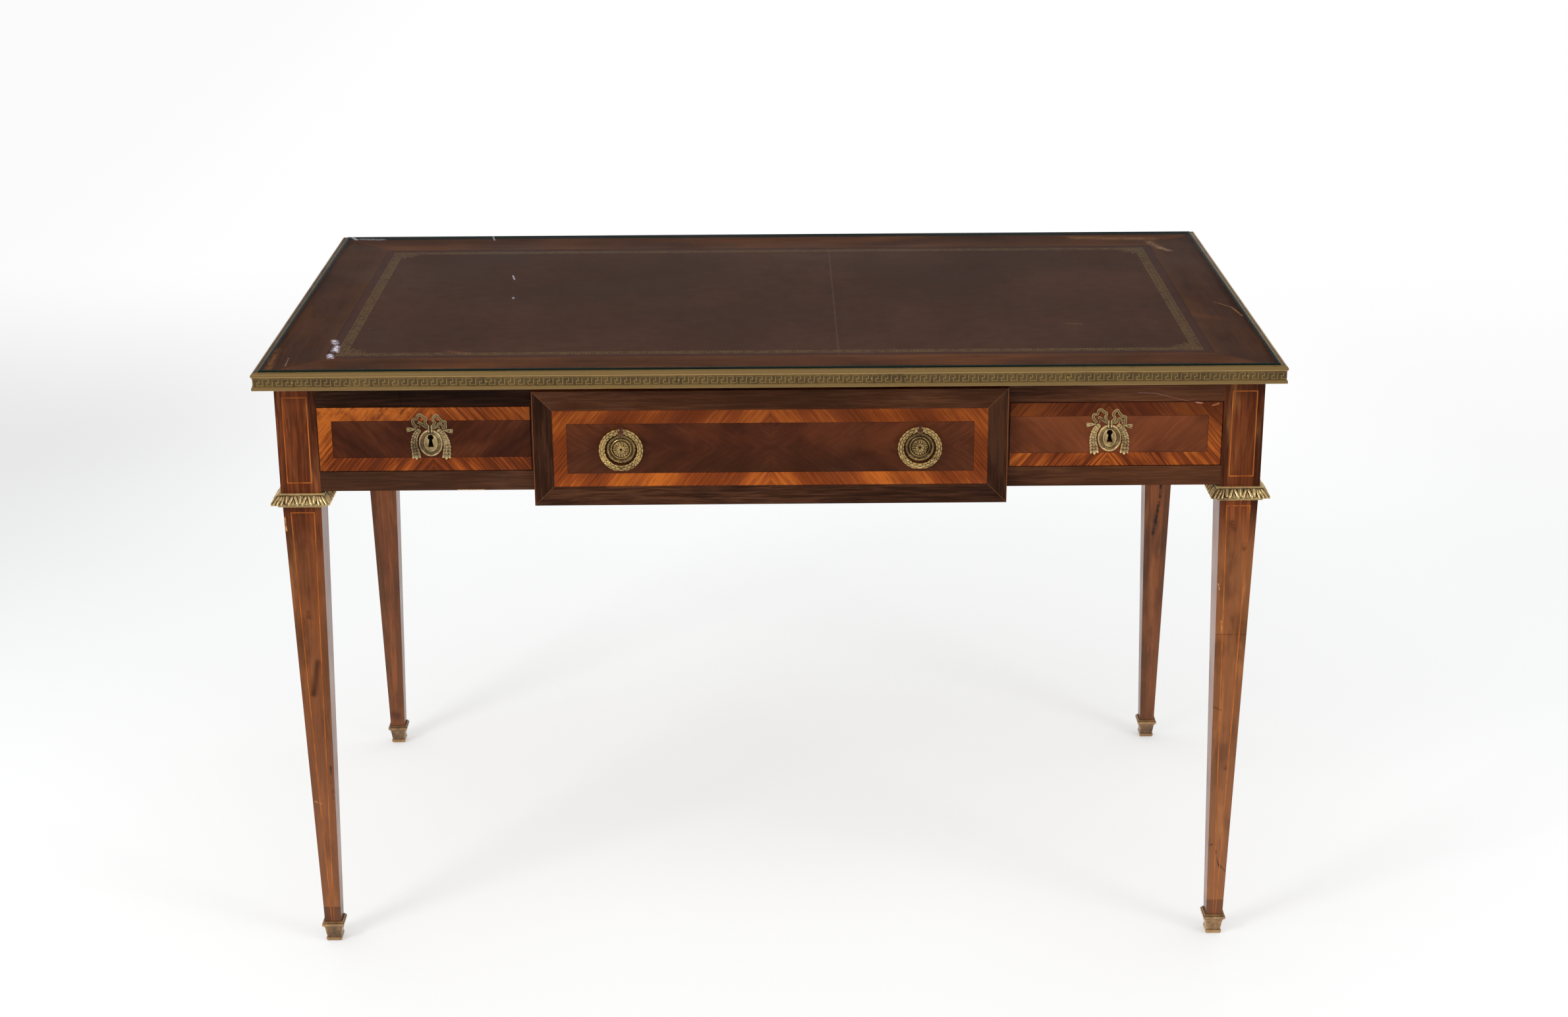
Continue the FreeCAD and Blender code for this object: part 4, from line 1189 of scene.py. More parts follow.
class Shape:
    """A mesh open on the bench, started from one primitive and shaped by what is picked on it."""

    def __init__(self, name: str, primitive: Primitive, **size: object) -> None:
        """Args: name is the piece's name, and size the primitive's own settings."""
        select()
        getattr(bpy.ops.mesh, primitive.value)(**size)
        bpy.ops.object.transform_apply(location=True, rotation=True, scale=True)
        self.piece = bpy.context.object
        self.piece.name = name
        bpy.ops.object.mode_set(mode="EDIT")
        bpy.ops.mesh.select_mode(type="VERT")

    @classmethod
    def outline(cls, name: str, points: Sequence[Sequence[float]], closed: bool = True) -> "Shape":
        """Starts from a plane merged to one point, which is extruded from point to point.

        Args:
            name: the piece's name.
            points: the outline's corners in order.
            closed: whether an edge joins the last to the first.
        Returns:
            The shape, with its whole outline picked.
        """
        corners = [Vector(point) for point in points]
        shape = cls(name, Primitive.PLANE, size=MM, location=corners[0])
        bpy.ops.mesh.merge(type="CENTER")
        for here, there in zip(corners, corners[1:]):
            bpy.ops.mesh.extrude_vertices_move(TRANSFORM_OT_translate={"value": there - here})
        if closed:
            ends = (corners[0], corners[-1])
            shape.pick(Kind.VERT, lambda at, _: min((at - end).length for end in ends) < TINY)
            bpy.ops.mesh.edge_face_add()
        shape.pick_all()
        return shape

    def pick(self, kind: Kind, test: Callable[[Vector, Vector], bool]) -> None:
        """Picks what passes a test of its middle and the way it faces, or for an edge the way it runs.

        Args:
            kind: what is picked.
            test: takes the middle and the direction, and says whether the element is picked.
        """
        bpy.ops.mesh.select_mode(type=kind.name)
        bpy.ops.mesh.select_all(action="DESELECT")
        mesh = bmesh.from_edit_mesh(self.piece.data)
        for element in getattr(mesh, kind.value):
            if kind is Kind.FACE:
                found = test(element.calc_center_median(), element.normal)
            elif kind is Kind.EDGE:
                ends = [vert.co for vert in element.verts]
                found = test((ends[0] + ends[1]) / 2, (ends[1] - ends[0]).normalized())
            else:
                found = test(element.co, element.normal)
            element.select_set(found)
        mesh.select_flush_mode()
        bmesh.update_edit_mesh(self.piece.data)

    def pick_all(self) -> None:
        """Picks everything."""
        bpy.ops.mesh.select_all(action="SELECT")

    def extrude(self, move: Sequence[float] = (0, 0, 0)) -> None:
        """Draws out what is picked."""
        bpy.ops.mesh.extrude_region_move(TRANSFORM_OT_translate={"value": move})

    def scale(self, factors: Sequence[float], centre: Vector = ORIGIN) -> None:
        """Scales what is picked about a centre."""
        bpy.ops.transform.resize(value=factors, center_override=centre)

    def move(self, offset: Sequence[float]) -> None:
        """Moves what is picked."""
        bpy.ops.transform.translate(value=offset)

    def done(self) -> bpy.types.Object:
        """Merges doubles, turns every face outwards and takes the piece off the bench.

        Returns:
            The piece.
        """
        self.pick_all()
        bpy.ops.mesh.remove_doubles(threshold=TINY / 2)
        bpy.ops.mesh.normals_make_consistent(inside=False)
        bpy.ops.object.mode_set(mode="OBJECT")
        return self.piece


def modify(piece: bpy.types.Object, kind: str, **settings: object) -> bpy.types.Object:
    """Adds a modifier to a piece and applies it.

    Args:
        piece: the piece.
        kind: the modifier's type.
        settings: its properties.
    Returns:
        The piece.
    """
    select(piece)
    modifier = piece.modifiers.new(kind.lower(), kind)
    for key, value in settings.items():
        setattr(modifier, key, value)
    bpy.ops.object.modifier_apply(modifier=modifier.name)
    return piece


def copied(piece: bpy.types.Object, placing: Matrix) -> bpy.types.Object:
    """A copy of a piece with its own mesh, set at a place.

    Args:
        piece: the pattern.
        placing: where the copy goes.
    Returns:
        The copy.
    """
    twin = piece.copy()
    twin.data = piece.data.copy()
    twin.data.transform(placing)
    if placing.determinant() < 0:
        twin.data.flip_normals()
    bpy.context.scene.collection.objects.link(twin)
    return twin


def joined(pieces: Sequence[bpy.types.Object]) -> bpy.types.Object:
    """Joins pieces to the first of them.

    Args:
        pieces: the pieces.
    Returns:
        The first piece, with all of them in its mesh.
    """
    select(*pieces)
    bpy.ops.object.join()
    return pieces[0]


def removed(*pieces: bpy.types.Object) -> None:
    """Throws away patterns that were only copied from."""
    for piece in pieces:
        bpy.data.objects.remove(piece)


def weigh_wear_and_shade(piece: bpy.types.Object) -> bpy.types.Object:
    """Stores how far each point stands clear of its surroundings, for the metal's wear and dirt and for its
    painted shade and highlights.

    Args:
        piece: a mesh.
    Returns:
        The piece, with the attribute "stand" on its points.
    """
    mesh = bmesh.new()
    mesh.from_mesh(piece.data)
    tree = BVHTree.FromBMesh(mesh)
    stand = []
    for vert in mesh.verts:
        ways = [(edge.other_vert(vert).co - vert.co).normalized() for edge in vert.link_edges]
        bend = -sum(way.dot(vert.normal) for way in ways) / max(len(ways), 1)
        beside = vert.normal.orthogonal()
        # Rays that meet the piece close by mark a hollow, for painted shade.
        closed = 0
        for step in range(RAY_COUNT):
            lean = 0.45 + 0.35 * (step % 3)
            around = Matrix.Rotation(math.tau * step / RAY_COUNT, 3, vert.normal) @ beside
            way = vert.normal * math.cos(lean) + around * math.sin(lean)
            closed += tree.ray_cast(vert.co + vert.normal * RAY_START, way, RAY_REACH)[0] is not None
        stand.append(max(-0.5, min(0.7, bend * 1.5)) + 0.3 - closed / 6)
    stand = [(stand[vert.index] * 2 + sum(stand[edge.other_vert(vert).index] for edge in vert.link_edges))
             / (2 + len(vert.link_edges)) for vert in mesh.verts]
    mesh.free()
    attribute = piece.data.attributes.new("stand", "FLOAT", "POINT")
    attribute.data.foreach_set("value", stand)
    return piece


def mount(piece: bpy.types.Object, name: str, body: str, finish: bpy.types.Material, node: str) -> None:
    """Finishes a brass piece: its name, wear and painted shade, smoothing, finish, body and the node that it
    stands for.

    Args:
        piece: the modelled piece, with its place in its mesh.
        name: its name.
        body: the body that it rides on.
        finish: its material, used where it has none of its own.
        node: the CAD node that it replaces.
    """
    if "stand" not in piece.data.attributes:
        weigh_wear_and_shade(piece)
    select(piece)
    bpy.ops.object.shade_smooth_by_angle(angle=math.radians(38))
    if not piece.data.materials:
        piece.data.materials.append(finish)
    piece.name = name
    piece.data.name = name
    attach(piece, body)
    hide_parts(node)
    LOG.info("%s: %d faces", name, len(piece.data.polygons))


def fit_legs(pattern: bpy.types.Object, kind: str, finish: bpy.types.Material) -> None:
    """Mounts a copy of a pattern on each leg, where the CAD nodes of one kind stand.

    Args:
        pattern: the piece, about Z and with its foot at 0.
        kind: the first part of the nodes' names.
        finish: its metal.
    """
    for corner in CORNERS:
        node = f"{kind}_{corner}"
        middle = middle_of(node)
        piece = copied(pattern, Matrix.Translation((middle.x, middle.y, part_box(node)[0].z)))
        mount(piece, "brass_" + node, "frame", finish, node)
    removed(pattern)


def swept_square(name: str, section: Sequence[Point], closed: bool, cuts: int) -> bpy.types.Object:
    """A square cup or collar about Z, swept from its section at one corner.

    Args:
        name: the piece's name.
        section: half its width and the level at each point, in metres.
        closed: whether the section is a ring.
        cuts: how often each side is cut across, for the wear to vary along it.
    Returns:
        The piece.
    """
    shape = Shape.outline(name, [(-half, -half, level) for half, level in section], closed)
    for factors in ((-1, 1, 1), (1, -1, 1)) * 2:
        shape.extrude()
        shape.scale(factors)
    shape.pick(Kind.EDGE, lambda _, run: max(abs(run.x), abs(run.y)) > 0.99)
    bpy.ops.mesh.subdivide(number_cuts=cuts)
    return shape.done()


def stroke(points: Sequence[StrokePoint], rise: float, sides: int = 1, steps: int = 4) -> bpy.types.Object:
    """A rounded stroke on the drawing plane, from a curve that is turned to a mesh.

    Args:
        points: (across, up, half width) in millimetres, which the stroke passes through.
        rise: its height as a share of its half width.
        sides: how finely it is rounded.
        steps: how many rings lie between two points.
    Returns:
        The stroke, in metres, with its lower half below the plane.
    """
    select()
    bpy.ops.curve.primitive_bezier_curve_add(location=(0, 0, 0))
    piece = bpy.context.object
    spline = piece.data.splines[0]
    spline.bezier_points.add(len(points) - len(spline.bezier_points))
    for point, (across, up, half_width) in zip(spline.bezier_points, points):
        point.co = (across * MM, up * MM, 0)
        point.handle_left_type = "AUTO"
        point.handle_right_type = "AUTO"
        point.radius = half_width
    piece.data.bevel_depth = MM
    piece.data.bevel_resolution = sides
    piece.data.resolution_u = steps
    piece.data.use_fill_caps = True
    bpy.ops.object.convert(target="MESH")
    piece.data.transform(Matrix.Scale(rise, 4, (0, 0, 1)))
    return piece


def rounded(points: Sequence[StrokePoint]) -> list[StrokePoint]:
    """A stroke's points with one more beyond each end, which rounds the end off.

    Args:
        points: the stroke's points.
    Returns:
        The longer list.
    """
    ends = []
    for end, inner in ((points[0], points[1]), (points[-1], points[-2])):
        out = Vector((end[0] - inner[0], end[1] - inner[1])).normalized() * (end[2] * 0.55)
        ends.append((end[0] + out.x, end[1] + out.y, end[2] * 0.4))
    return [ends[0], *points, ends[1]]


def ribbon(points: Sequence[Point], half_width: float, rise: float) -> list[bpy.types.Object]:
    """A ribbon with a rolled edge along each side of a flat middle.

    Args:
        points: its middle line in millimetres.
        half_width: half its width in millimetres.
        rise: the height of its edges in millimetres.
    Returns:
        The flat and the two edges.
    """
    flat = stroke([(x, y, half_width) for x, y in points], rise * 0.85 / half_width, sides=2)
    pieces = [flat]
    for sign in (-1, 1):
        edge = []
        for number, (x, y) in enumerate(points):
            before = points[max(number - 1, 0)]
            after = points[min(number + 1, len(points) - 1)]
            run = Vector((after[0] - before[0], after[1] - before[1])).normalized()
            reach = sign * (half_width - 0.45)
            edge.append((x - run.y * reach, y + run.x * reach, 0.5))
        pieces.append(stroke(edge, rise / 0.5))
    return pieces


def moved(x: float, y: float, z: float) -> Matrix:
    """Placing that moves a piece by so many millimetres."""
    return Matrix.Translation((x * MM, y * MM, z * MM))


def turned(angle: float, axis: str = "Z") -> Matrix:
    """Placing that turns a piece about an axis by an angle in degrees."""
    return Matrix.Rotation(math.radians(angle), 4, axis)


def stood_up(centre: Vector) -> Matrix:
    """Placing that turns the drawing plane to face the front, with its origin at a centre."""
    return Matrix.Translation(centre) @ turned(90, "X")


# Brass mounts

@dataclass
class EdgeMoulding:
    """Mitred brass bars round the top, with a bead, a Greek key band and a lower lip.

    Lengths are in millimetres. The section's points give the inset from the outer face and a level, which
    counts from the bar's foot for the lip and from its rim for the ledge.
    """

    lip: tuple[Point, ...] = ((3.5, 0.0), (0.7, 0.0), (0.3, 0.5), (0.3, 3.3), (0.65, 3.8), (1.3, 4.0),
                              (1.3, 4.7), (2.0, 4.9))
    ledge: tuple[Point, ...] = ((2.0, -7.1), (1.4, -6.95), (1.4, -6.3), (1.7, -6.1))
    bead_radius: float = 3.1
    ground: float = 2.0
    key_rise: float = 0.55
    key_line: float = 1.5
    key_height: float = 9.2
    key_foot: float = 5.2
    key_pitch: float = 11.3
    hook_share: float = 0.41
    turn_share: float = 0.62
    glass_level: float = 18.3
    drop: float = 0.8
    rim_drop: float = 1.8
    front_pins: tuple[float, ...] = (-0.92, -0.546, -0.176, 0.196, 0.574, 0.922)
    side_pins: tuple[float, ...] = (-0.84, 0.0, 0.84)

    def outline(self, reach: float, height: float) -> list[Point]:
        """Section of a bar.

        Args:
            reach: how deep the bar is.
            height: how high it stands.
        Returns:
            The inset and the level above its foot at each point.
        """
        points = [*self.lip, *((inset, height + level) for inset, level in self.ledge)]
        for step in range(9):
            turn = math.radians(17.75 * step - 52)
            points.append((self.bead_radius * (1 - math.cos(turn)),
                           height + self.bead_radius * (math.sin(turn) - 1)))
        return points + [(4.6, height - 0.35), (reach - 0.9, height - 0.35), (reach - 0.4, height),
                         (reach, height - 0.3), (reach, self.glass_level), (self.lip[0][0], self.glass_level)]

    def key_unit(self) -> bpy.types.Object:
        """One repeat of the key, raised from a grid of which only the key's cells are kept.

        Returns:
            The repeat, on the drawing plane.
        """
        line, pitch, height = self.key_line, self.key_pitch, self.key_height
        columns = [0, line, self.hook_share * pitch, self.hook_share * pitch + line,
                   self.turn_share * pitch, self.turn_share * pitch + line, pitch]
        rows = [0, line, (height - line) / 2, (height + line) / 2, height - line, height]
        kept = {(0, row) for row in range(5)} | {(column, 4) for column in range(1, 5)}
        kept |= {(4, 3), (4, 2), (3, 2), (2, 2), (2, 1), (2, 0), (3, 0), (4, 0), (5, 0)}
        shape = Shape("key", Primitive.GRID, x_subdivisions=6, y_subdivisions=5, size=1, location=(-1, -1, 0))
        grid = (columns, rows)
        for axis in (0, 1):
            self.respace(shape, axis, grid[axis])

        def is_ground(at: Vector, _: Vector) -> bool:
            """Whether a cell isn't part of the key."""
            cell = tuple(sum(place * MM < at[axis] for place in grid[axis]) - 1 for axis in (0, 1))
            return cell not in kept

        def is_end(at: Vector) -> bool:
            """Whether a place is where one repeat meets the next."""
            return not TINY < at.x < pitch * MM - TINY

        shape.pick(Kind.FACE, is_ground)
        bpy.ops.mesh.delete(type="FACE")
        shape.pick_all()
        shape.extrude((0, 0, self.key_rise * MM))
        shape.pick(Kind.EDGE, lambda at, _: at.z > self.key_rise * MM - TINY and not is_end(at))
        bpy.ops.mesh.bevel(offset=0.22 * MM, segments=1)
        shape.pick(Kind.FACE, lambda at, way: abs(way.x) > 0.9 and is_end(at))
        bpy.ops.mesh.delete(type="FACE")
        return shape.done()

    @staticmethod
    def respace(shape: Shape, axis: int, places: Sequence[float]) -> None:
        """Moves the rows of a unit grid that lies one metre aside to their places along an axis.

        Args:
            shape: the grid.
            axis: the number of the axis.
            places: where its rows go, in millimetres.
        """
        for number, place in enumerate(places):
            old = number / (len(places) - 1) - 1.5
            shape.pick(Kind.VERT, lambda at, _: abs(at[axis] - old) < TINY)
            offset = Vector((0, 0, 0))
            offset[axis] = place * MM - old
            shape.move(offset)

    def bar(self, half_length: float, half_depth: float,
            finishes: Sequence[bpy.types.Material]) -> bpy.types.Object:
        """One bar, made as the front one.

        Args:
            half_length: half its length on its outer face, in metres.
            half_depth: the distance of its outer face from the desk's middle.
            finishes: for its body, the ground of its band and the key.
        Returns:
            The bar with its key band.
        """
        low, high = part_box("edge_moulding_front")
        foot = low.z - self.drop * MM
        outline = self.outline((high.y - low.y) / MM, (high.z - foot) / MM - self.rim_drop)
        shape = Shape.outline("bar", [(inset * MM - half_length, inset * MM - half_depth, foot + level * MM)
                                      for inset, level in outline])
        bpy.ops.mesh.edge_face_add()
        shape.pick_all()
        shape.extrude()
        shape.scale((-1, 1, 1))
        bar = shape.done()
        bar.data.materials.append(finishes[0])
        bar.data.materials.append(finishes[1])
        ground = self.ground * MM - half_depth
        for face in bar.data.polygons:
            if face.normal.y < -0.98 and abs(face.center.y - ground) < 2 * TINY:
                face.material_index = 1
        length = 2 * (half_length - self.ground * MM)
        pitch = self.key_pitch * MM
        count = round(length / pitch)
        key = modify(self.key_unit(), "ARRAY", count=count, use_relative_offset=False,
                     use_constant_offset=True, constant_offset_displace=(pitch, 0, 0),
                     use_merge_vertices=True, merge_threshold=TINY)
        start = Vector((-length / 2, ground + 2 * TINY, foot + self.key_foot * MM))
        key.data.transform(stood_up(start) @ Matrix.Scale(length / (count * pitch), 4, (1, 0, 0)))
        key.data.materials.append(finishes[2])
        return joined([bar, key])

    def build(self) -> None:
        """Makes the four bars and the pins."""
        plain, dark = BAR_BRASS.material(), SIDE_BRASS.material()
        ground, key = BAND_GROUND.material(), KEY_BRASS.material()
        low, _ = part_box("edge_moulding_front")
        _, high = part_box("edge_moulding_right")
        half_x, half_y = high.x, -low.y
        for number, side in enumerate(("front", "right", "back", "left")):
            along, out = (half_y, half_x) if number % 2 else (half_x, half_y)
            bar = self.bar(along, out, (dark if side == "left" else plain, ground, key))
            bar.data.transform(turned(90 * number))
            mount(bar, "brass_moulding_" + side, "frame", plain, "edge_moulding_" + side)
        self.pins(half_x, half_y, low.z, key)

    def pins(self, half_x: float, half_y: float, bottom: float, finish: bpy.types.Material) -> None:
        """Domed pins through the key band.

        Args:
            half_x: half the top's length, in metres.
            half_y: half its depth.
            bottom: the level of the solids' foot.
            finish: the pins' metal.
        """
        shape = Shape("pin", Primitive.CYLINDER, vertices=12, radius=1.5 * MM, depth=0.5 * MM)
        shape.pick(Kind.FACE, lambda at, way: way.z > 0.9)
        for grow, lift in ((0.85, 0.35), (0.7, 0.25), (0.5, 0.1)):
            shape.extrude((0, 0, lift * MM))
            shape.scale((grow, grow, 1))
        pin = shape.done()
        level = bottom + (self.key_foot + self.key_height / 2 - self.drop) * MM
        places = []
        for share in self.front_pins:
            places += [(share * half_x, half_y, 0), (-share * half_x, half_y, 180)]
        for share in self.side_pins:
            places += [(share * half_y, half_x, 90), (share * half_y, half_x, 270)]
        pins = []
        for along, out, angle in places:
            stand = stood_up(Vector((along, (self.ground - 0.9) * MM - out, level)))
            pins.append(copied(pin, turned(angle) @ stand))
        removed(pin)
        mount(joined(pins), "brass_pins", "frame", finish, "moulding_pins")


@dataclass
class Collars:
    """Square brass collars between stile and leg, with leaf and dart on their flare."""

    neck_half: float = 27.4 * MM
    reach_half: float = 35.5 * MM
    inner_half: float = 23.6 * MM
    leaf_pitch: float = 16.2
    levels: tuple[Point, ...] = ((0.0, 0.02), (0.1, 0.07), (0.19, 0.03), (0.225, 0.3), (0.25, 0.9),
                                 (0.27, 0.97), (0.31, 0.95), (0.4, 0.8), (0.5, 0.62), (0.6, 0.46),
                                 (0.7, 0.32), (0.8, 0.19), (0.89, 0.08), (0.925, 0.06), (0.935, 0.13),
                                 (0.98, 0.12), (1.0, 0.04))
    leaf_half: tuple[Stroke, ...] = (
        ((1.1, 5.4, 1.2), (2.0, 3.4, 1.7), (3.7, -0.8, 2.0), (5.0, -4.4, 2.1), (5.4, -5.6, 1.7)),
        ((1.5, -2.0, 0.5), (2.5, -5.2, 0.9)))
    leaf_rib: tuple[Stroke, ...] = (((0.0, 0.8, 0.6), (0.0, -2.2, 1.5), (0.0, -5.0, 1.6)),)
    dart_half: tuple[Stroke, ...] = (((2.2, 5.4, 0.8), (1.7, 2.0, 0.9), (0.9, -4.0, 0.6)),)
    dart_rib: tuple[Stroke, ...] = (((0.0, 5.4, 1.6), (0.0, 1.4, 1.5), (0.0, -5.0, 0.7)),)
    corner_leaves: tuple[StrokePoint, ...] = ((19.8, 22.6, 1.6), (22.0, 27.4, 2.1), (25.4, 31.8, 1.7))

    def ring(self, height: float) -> bpy.types.Object:
        """The plain collar about the origin.

        Args:
            height: how high it stands, in metres.
        Returns:
            The ring.
        """
        outer = [(self.neck_half + (self.reach_half - self.neck_half) * reach, height * rise)
                 for rise, reach in self.levels]
        return swept_square("collar", [(self.inner_half, 0.0), *outer, (self.inner_half, height)], True, 35)

    def leaves(self) -> bpy.types.Object:
        """One side's leaf and dart, on the drawing plane, with the flare's middle at the origin.

        Returns:
            The pattern for one side.
        """
        leaves = (-self.leaf_pitch / 2, self.leaf_pitch / 2)
        darts = (-self.leaf_pitch, 0, self.leaf_pitch)
        half = self.repeated(self.leaf_half, leaves) + self.repeated(self.dart_half, darts)
        for start, end, width in self.corner_leaves:
            half.append([(start, 5.2, 1.2), (start * 0.55 + end * 0.45, 0.2, width), (end, -5.6, 1.3)])
        whole = [[(-across, up, width) for across, up, width in petal] for petal in half]
        whole += self.repeated(self.leaf_rib, leaves) + self.repeated(self.dart_rib, darts)
        return joined([stroke(rounded(petal), 0.95, sides=3, steps=3) for petal in half + whole])

    @staticmethod
    def repeated(strokes: Sequence[Stroke], middles: Sequence[float]) -> list[list[StrokePoint]]:
        """The same strokes at each of several places across."""
        return [[(middle + across, up, width) for across, up, width in points]
                for middle in middles for points in strokes]

    def build(self) -> None:
        """Makes one collar and copies it to the four legs."""
        low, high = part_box("collar_front_left")
        height = high.z - low.z
        pattern = self.leaves()
        flare = self.reach_half - self.neck_half
        lean = math.degrees(math.atan2(flare * 0.89, height * 0.55))
        middle = Matrix.Translation((0, -self.neck_half - flare * 0.49, height * 0.585))
        face = middle @ turned(90 - lean, "X")
        sides = [copied(pattern, turned(90 * quarter) @ face) for quarter in range(4)]
        collar = weigh_wear_and_shade(joined([self.ring(height), *sides]))
        removed(pattern)
        fit_legs(collar, "collar", GILT_BRASS.material())


@dataclass
class Sabots:
    """Square brass cups at the feet."""

    base_half: float = 8.6 * MM
    lip_half: float = 13.9 * MM
    inner_half: float = 9.9 * MM
    levels: tuple[Point, ...] = ((0.0, 0.02), (0.03, 0.12), (0.08, 0.26), (0.15, 0.28), (0.19, 0.2),
                                 (0.22, 0.1), (0.24, 0.08), (0.66, 0.42), (0.71, 0.5), (0.76, 0.66),
                                 (0.785, 0.8), (0.8, 0.97), (0.83, 1.0), (0.9, 1.0), (0.925, 0.96),
                                 (0.93, 0.8), (1.0, 0.7))

    def build(self) -> None:
        """Makes one sabot and copies it to the four feet."""
        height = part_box("sabot_front_left")[1].z
        outer = [(self.base_half + (self.lip_half - self.base_half) * reach, height * rise)
                 for rise, reach in self.levels]
        cup = swept_square("sabot", [(0.2 * MM, 0.0), *outer, (self.inner_half, height)], False, 9)
        modify(cup, "BEVEL", width=0.3 * MM, segments=2, limit_method="ANGLE", angle_limit=math.radians(50))
        fit_legs(weigh_wear_and_shade(cup), "sabot", DULL_BRASS.material())


@dataclass
class RingPulls:
    """Ring pulls of the centre drawer: rosette, eye post and a laurel ring with crossed ribbons.

    Lengths are in millimetres, and places along the ring in degrees from its top.
    """

    ring_radius: float = 22.7
    wire_radius: float = 3.1
    rosette_radius: float = 17.1
    rosette_height: float = 5.5
    bead_count: int = 60
    first_leaf: float = 14.0
    leaf_pitch: float = 14.0
    last_leaf: float = 168.0
    ribbons: tuple[float, ...] = (118.0, 133.0)
    berry: Stroke = ((-0.55, 0, 0.75), (0.0, 0, 1.05), (0.55, 0, 0.75))
    petal: Stroke = ((1.7, 0, 0.5), (3.2, 0, 1.1), (4.8, 0, 1.0), (5.6, 0, 0.4))
    leaf: Stroke = ((0, 0, 0.35), (1.6, 0, 1.35), (3.4, 0, 1.5), (5.4, 0, 0.85), (6.6, 0, 0.12))
    rib: Stroke = ((0.4, 0, 0.25), (3, 0, 0.32), (6.2, 0, 0.12))
    ribbon: Stroke = ((-4.2, -6.4, 0.9), (-1.6, -2.4, 1.0), (1.6, 2.4, 1.0), (4.2, 6.4, 0.9))
    eye_radius: float = 5.4
    eye_half_width: float = 3.4
    eye_stretch: float = 1.14
    profile: tuple[Point, ...] = (
        (1.0, 0.0), (1.0, 0.3), (0.985, 0.42), (0.95, 0.5), (0.9, 0.5), (0.865, 0.42), (0.85, 0.32),
        (0.8, 0.24), (0.73, 0.26), (0.69, 0.38), (0.655, 0.42), (0.63, 0.38), (0.605, 0.28), (0.59, 0.36),
        (0.55, 0.55), (0.46, 0.75), (0.34, 0.9), (0.2, 0.97), (0.1, 0.9), (0.05, 0.7), (0.0, 0.66))

    def rosette(self) -> bpy.types.Object:
        """Beaded rim, plain hollow and a dome chased with berries and petals, on the drawing plane.

        Returns:
            The rosette.
        """
        outline = [(self.rosette_radius * reach * MM, 0, self.rosette_height * rise * MM)
                   for reach, rise in self.profile]
        shape = Shape.outline("rosette", outline, closed=False)
        bpy.ops.mesh.spin(steps=72, angle=math.tau, center=(0, 0, 0), axis=(0, 0, 1))
        pieces = [shape.done()]
        rim = self.rosette_radius
        bead = stroke([(rim - 2.4, 0, 0.45), (rim - 1.2, 0, 0.75), (rim - 0.2, 0, 0.5)], 1.0, steps=2)
        berry = stroke(self.berry, 1.0, steps=2)
        petal = stroke(self.petal, 0.7, steps=3)
        for part, count, radius, level in ((bead, self.bead_count, 0.0, 2.6), (berry, 18, 8.3, 4.0),
                                           (berry, 14, 6.9, 4.5), (petal, 8, 0.0, 4.9)):
            for number in range(count):
                turn = turned(360 * (number + radius / 9) / count)
                pieces.append(copied(part, moved(0, 0, level) @ turn @ moved(radius, 0, 0)))
        removed(bead, berry, petal)
        return joined(pieces)

    def eye(self) -> bpy.types.Object:
        """The eye round the ring's wire, with its foot, about the hinge's middle.

        Returns:
            The eye.
        """
        half = self.eye_half_width
        bore = self.wire_radius + 0.4
        section = [(-half, bore), (-half, self.eye_radius - 1.1), (-half * 0.7, self.eye_radius - 0.3),
                   (0, self.eye_radius), (half * 0.7, self.eye_radius - 0.3), (half, self.eye_radius - 1.1),
                   (half, bore), (half * 0.6, bore - 0.2), (-half * 0.6, bore - 0.2)]
        shape = Shape.outline("eye", [(x * MM, 0, radius * MM) for x, radius in section])
        bpy.ops.mesh.spin(steps=40, angle=math.tau, center=(0, 0, 0), axis=(1, 0, 0))
        eye = shape.done()
        shape = Shape("foot", Primitive.CYLINDER, vertices=24, radius=2.6 * MM, depth=1.2 * MM,
                      location=(0, 4.6 * MM, 0), rotation=(math.radians(90), 0, 0))
        shape.pick(Kind.FACE, lambda at, way: way.y > 0.9)
        shape.extrude((0, 0.3 * MM, 0))
        shape.scale((1.35, 1, 1.35))
        shape.extrude((0, 0.5 * MM, 0))
        return joined([eye, shape.done()])

    def wrapped(self, pattern: bpy.types.Object, start: float, around: float) -> bpy.types.Object:
        """Bends a flat stroke round the ring's wire.

        Args:
            pattern: the stroke, whose X runs along the ring and whose Y runs round the wire.
            start: where it starts along the ring, in degrees clockwise from the top.
            around: how far round the wire its middle lies, in radians outwards from the front.
        Returns:
            The bent copy, about the ring's middle on the drawing plane.
        """
        bent = copied(pattern, Matrix.Identity(4))
        ring, wire = self.ring_radius * MM, self.wire_radius * MM
        for vert in bent.data.vertices:
            along = math.radians(start) + vert.co.x / ring
            turn = around + vert.co.y / wire
            out = wire + vert.co.z
            reach = ring + out * math.sin(turn)
            vert.co = (reach * math.sin(along), reach * math.cos(along), out * math.cos(turn))
        return bent

    def ring(self) -> bpy.types.Object:
        """The ring with its laurel leaves and ribbons, on the drawing plane.

        Returns:
            The ring.
        """
        shape = Shape("ring", Primitive.TORUS, major_segments=96, minor_segments=16,
                      major_radius=self.ring_radius * MM, minor_radius=self.wire_radius * MM)
        pieces = [shape.done()]
        pattern = joined([stroke(self.leaf, 0.55), stroke(self.rib, 2.6)])
        band = stroke(self.ribbon, 0.7, steps=6)
        crossing = copied(band, MIRROR)
        side = []
        for row, around in enumerate((0.95, 0.0, -0.95)):
            for step in range(11):
                start = self.first_leaf + self.leaf_pitch * (step + 0.5 * (row % 2))
                if start < self.last_leaf:
                    side.append(self.wrapped(pattern, start, around))
        for place in self.ribbons:
            side += [self.wrapped(band, place, 0), self.wrapped(crossing, place, 0)]
        pieces += [copied(piece, MIRROR) for piece in side] + side
        removed(pattern, band, crossing)
        return joined(pieces)

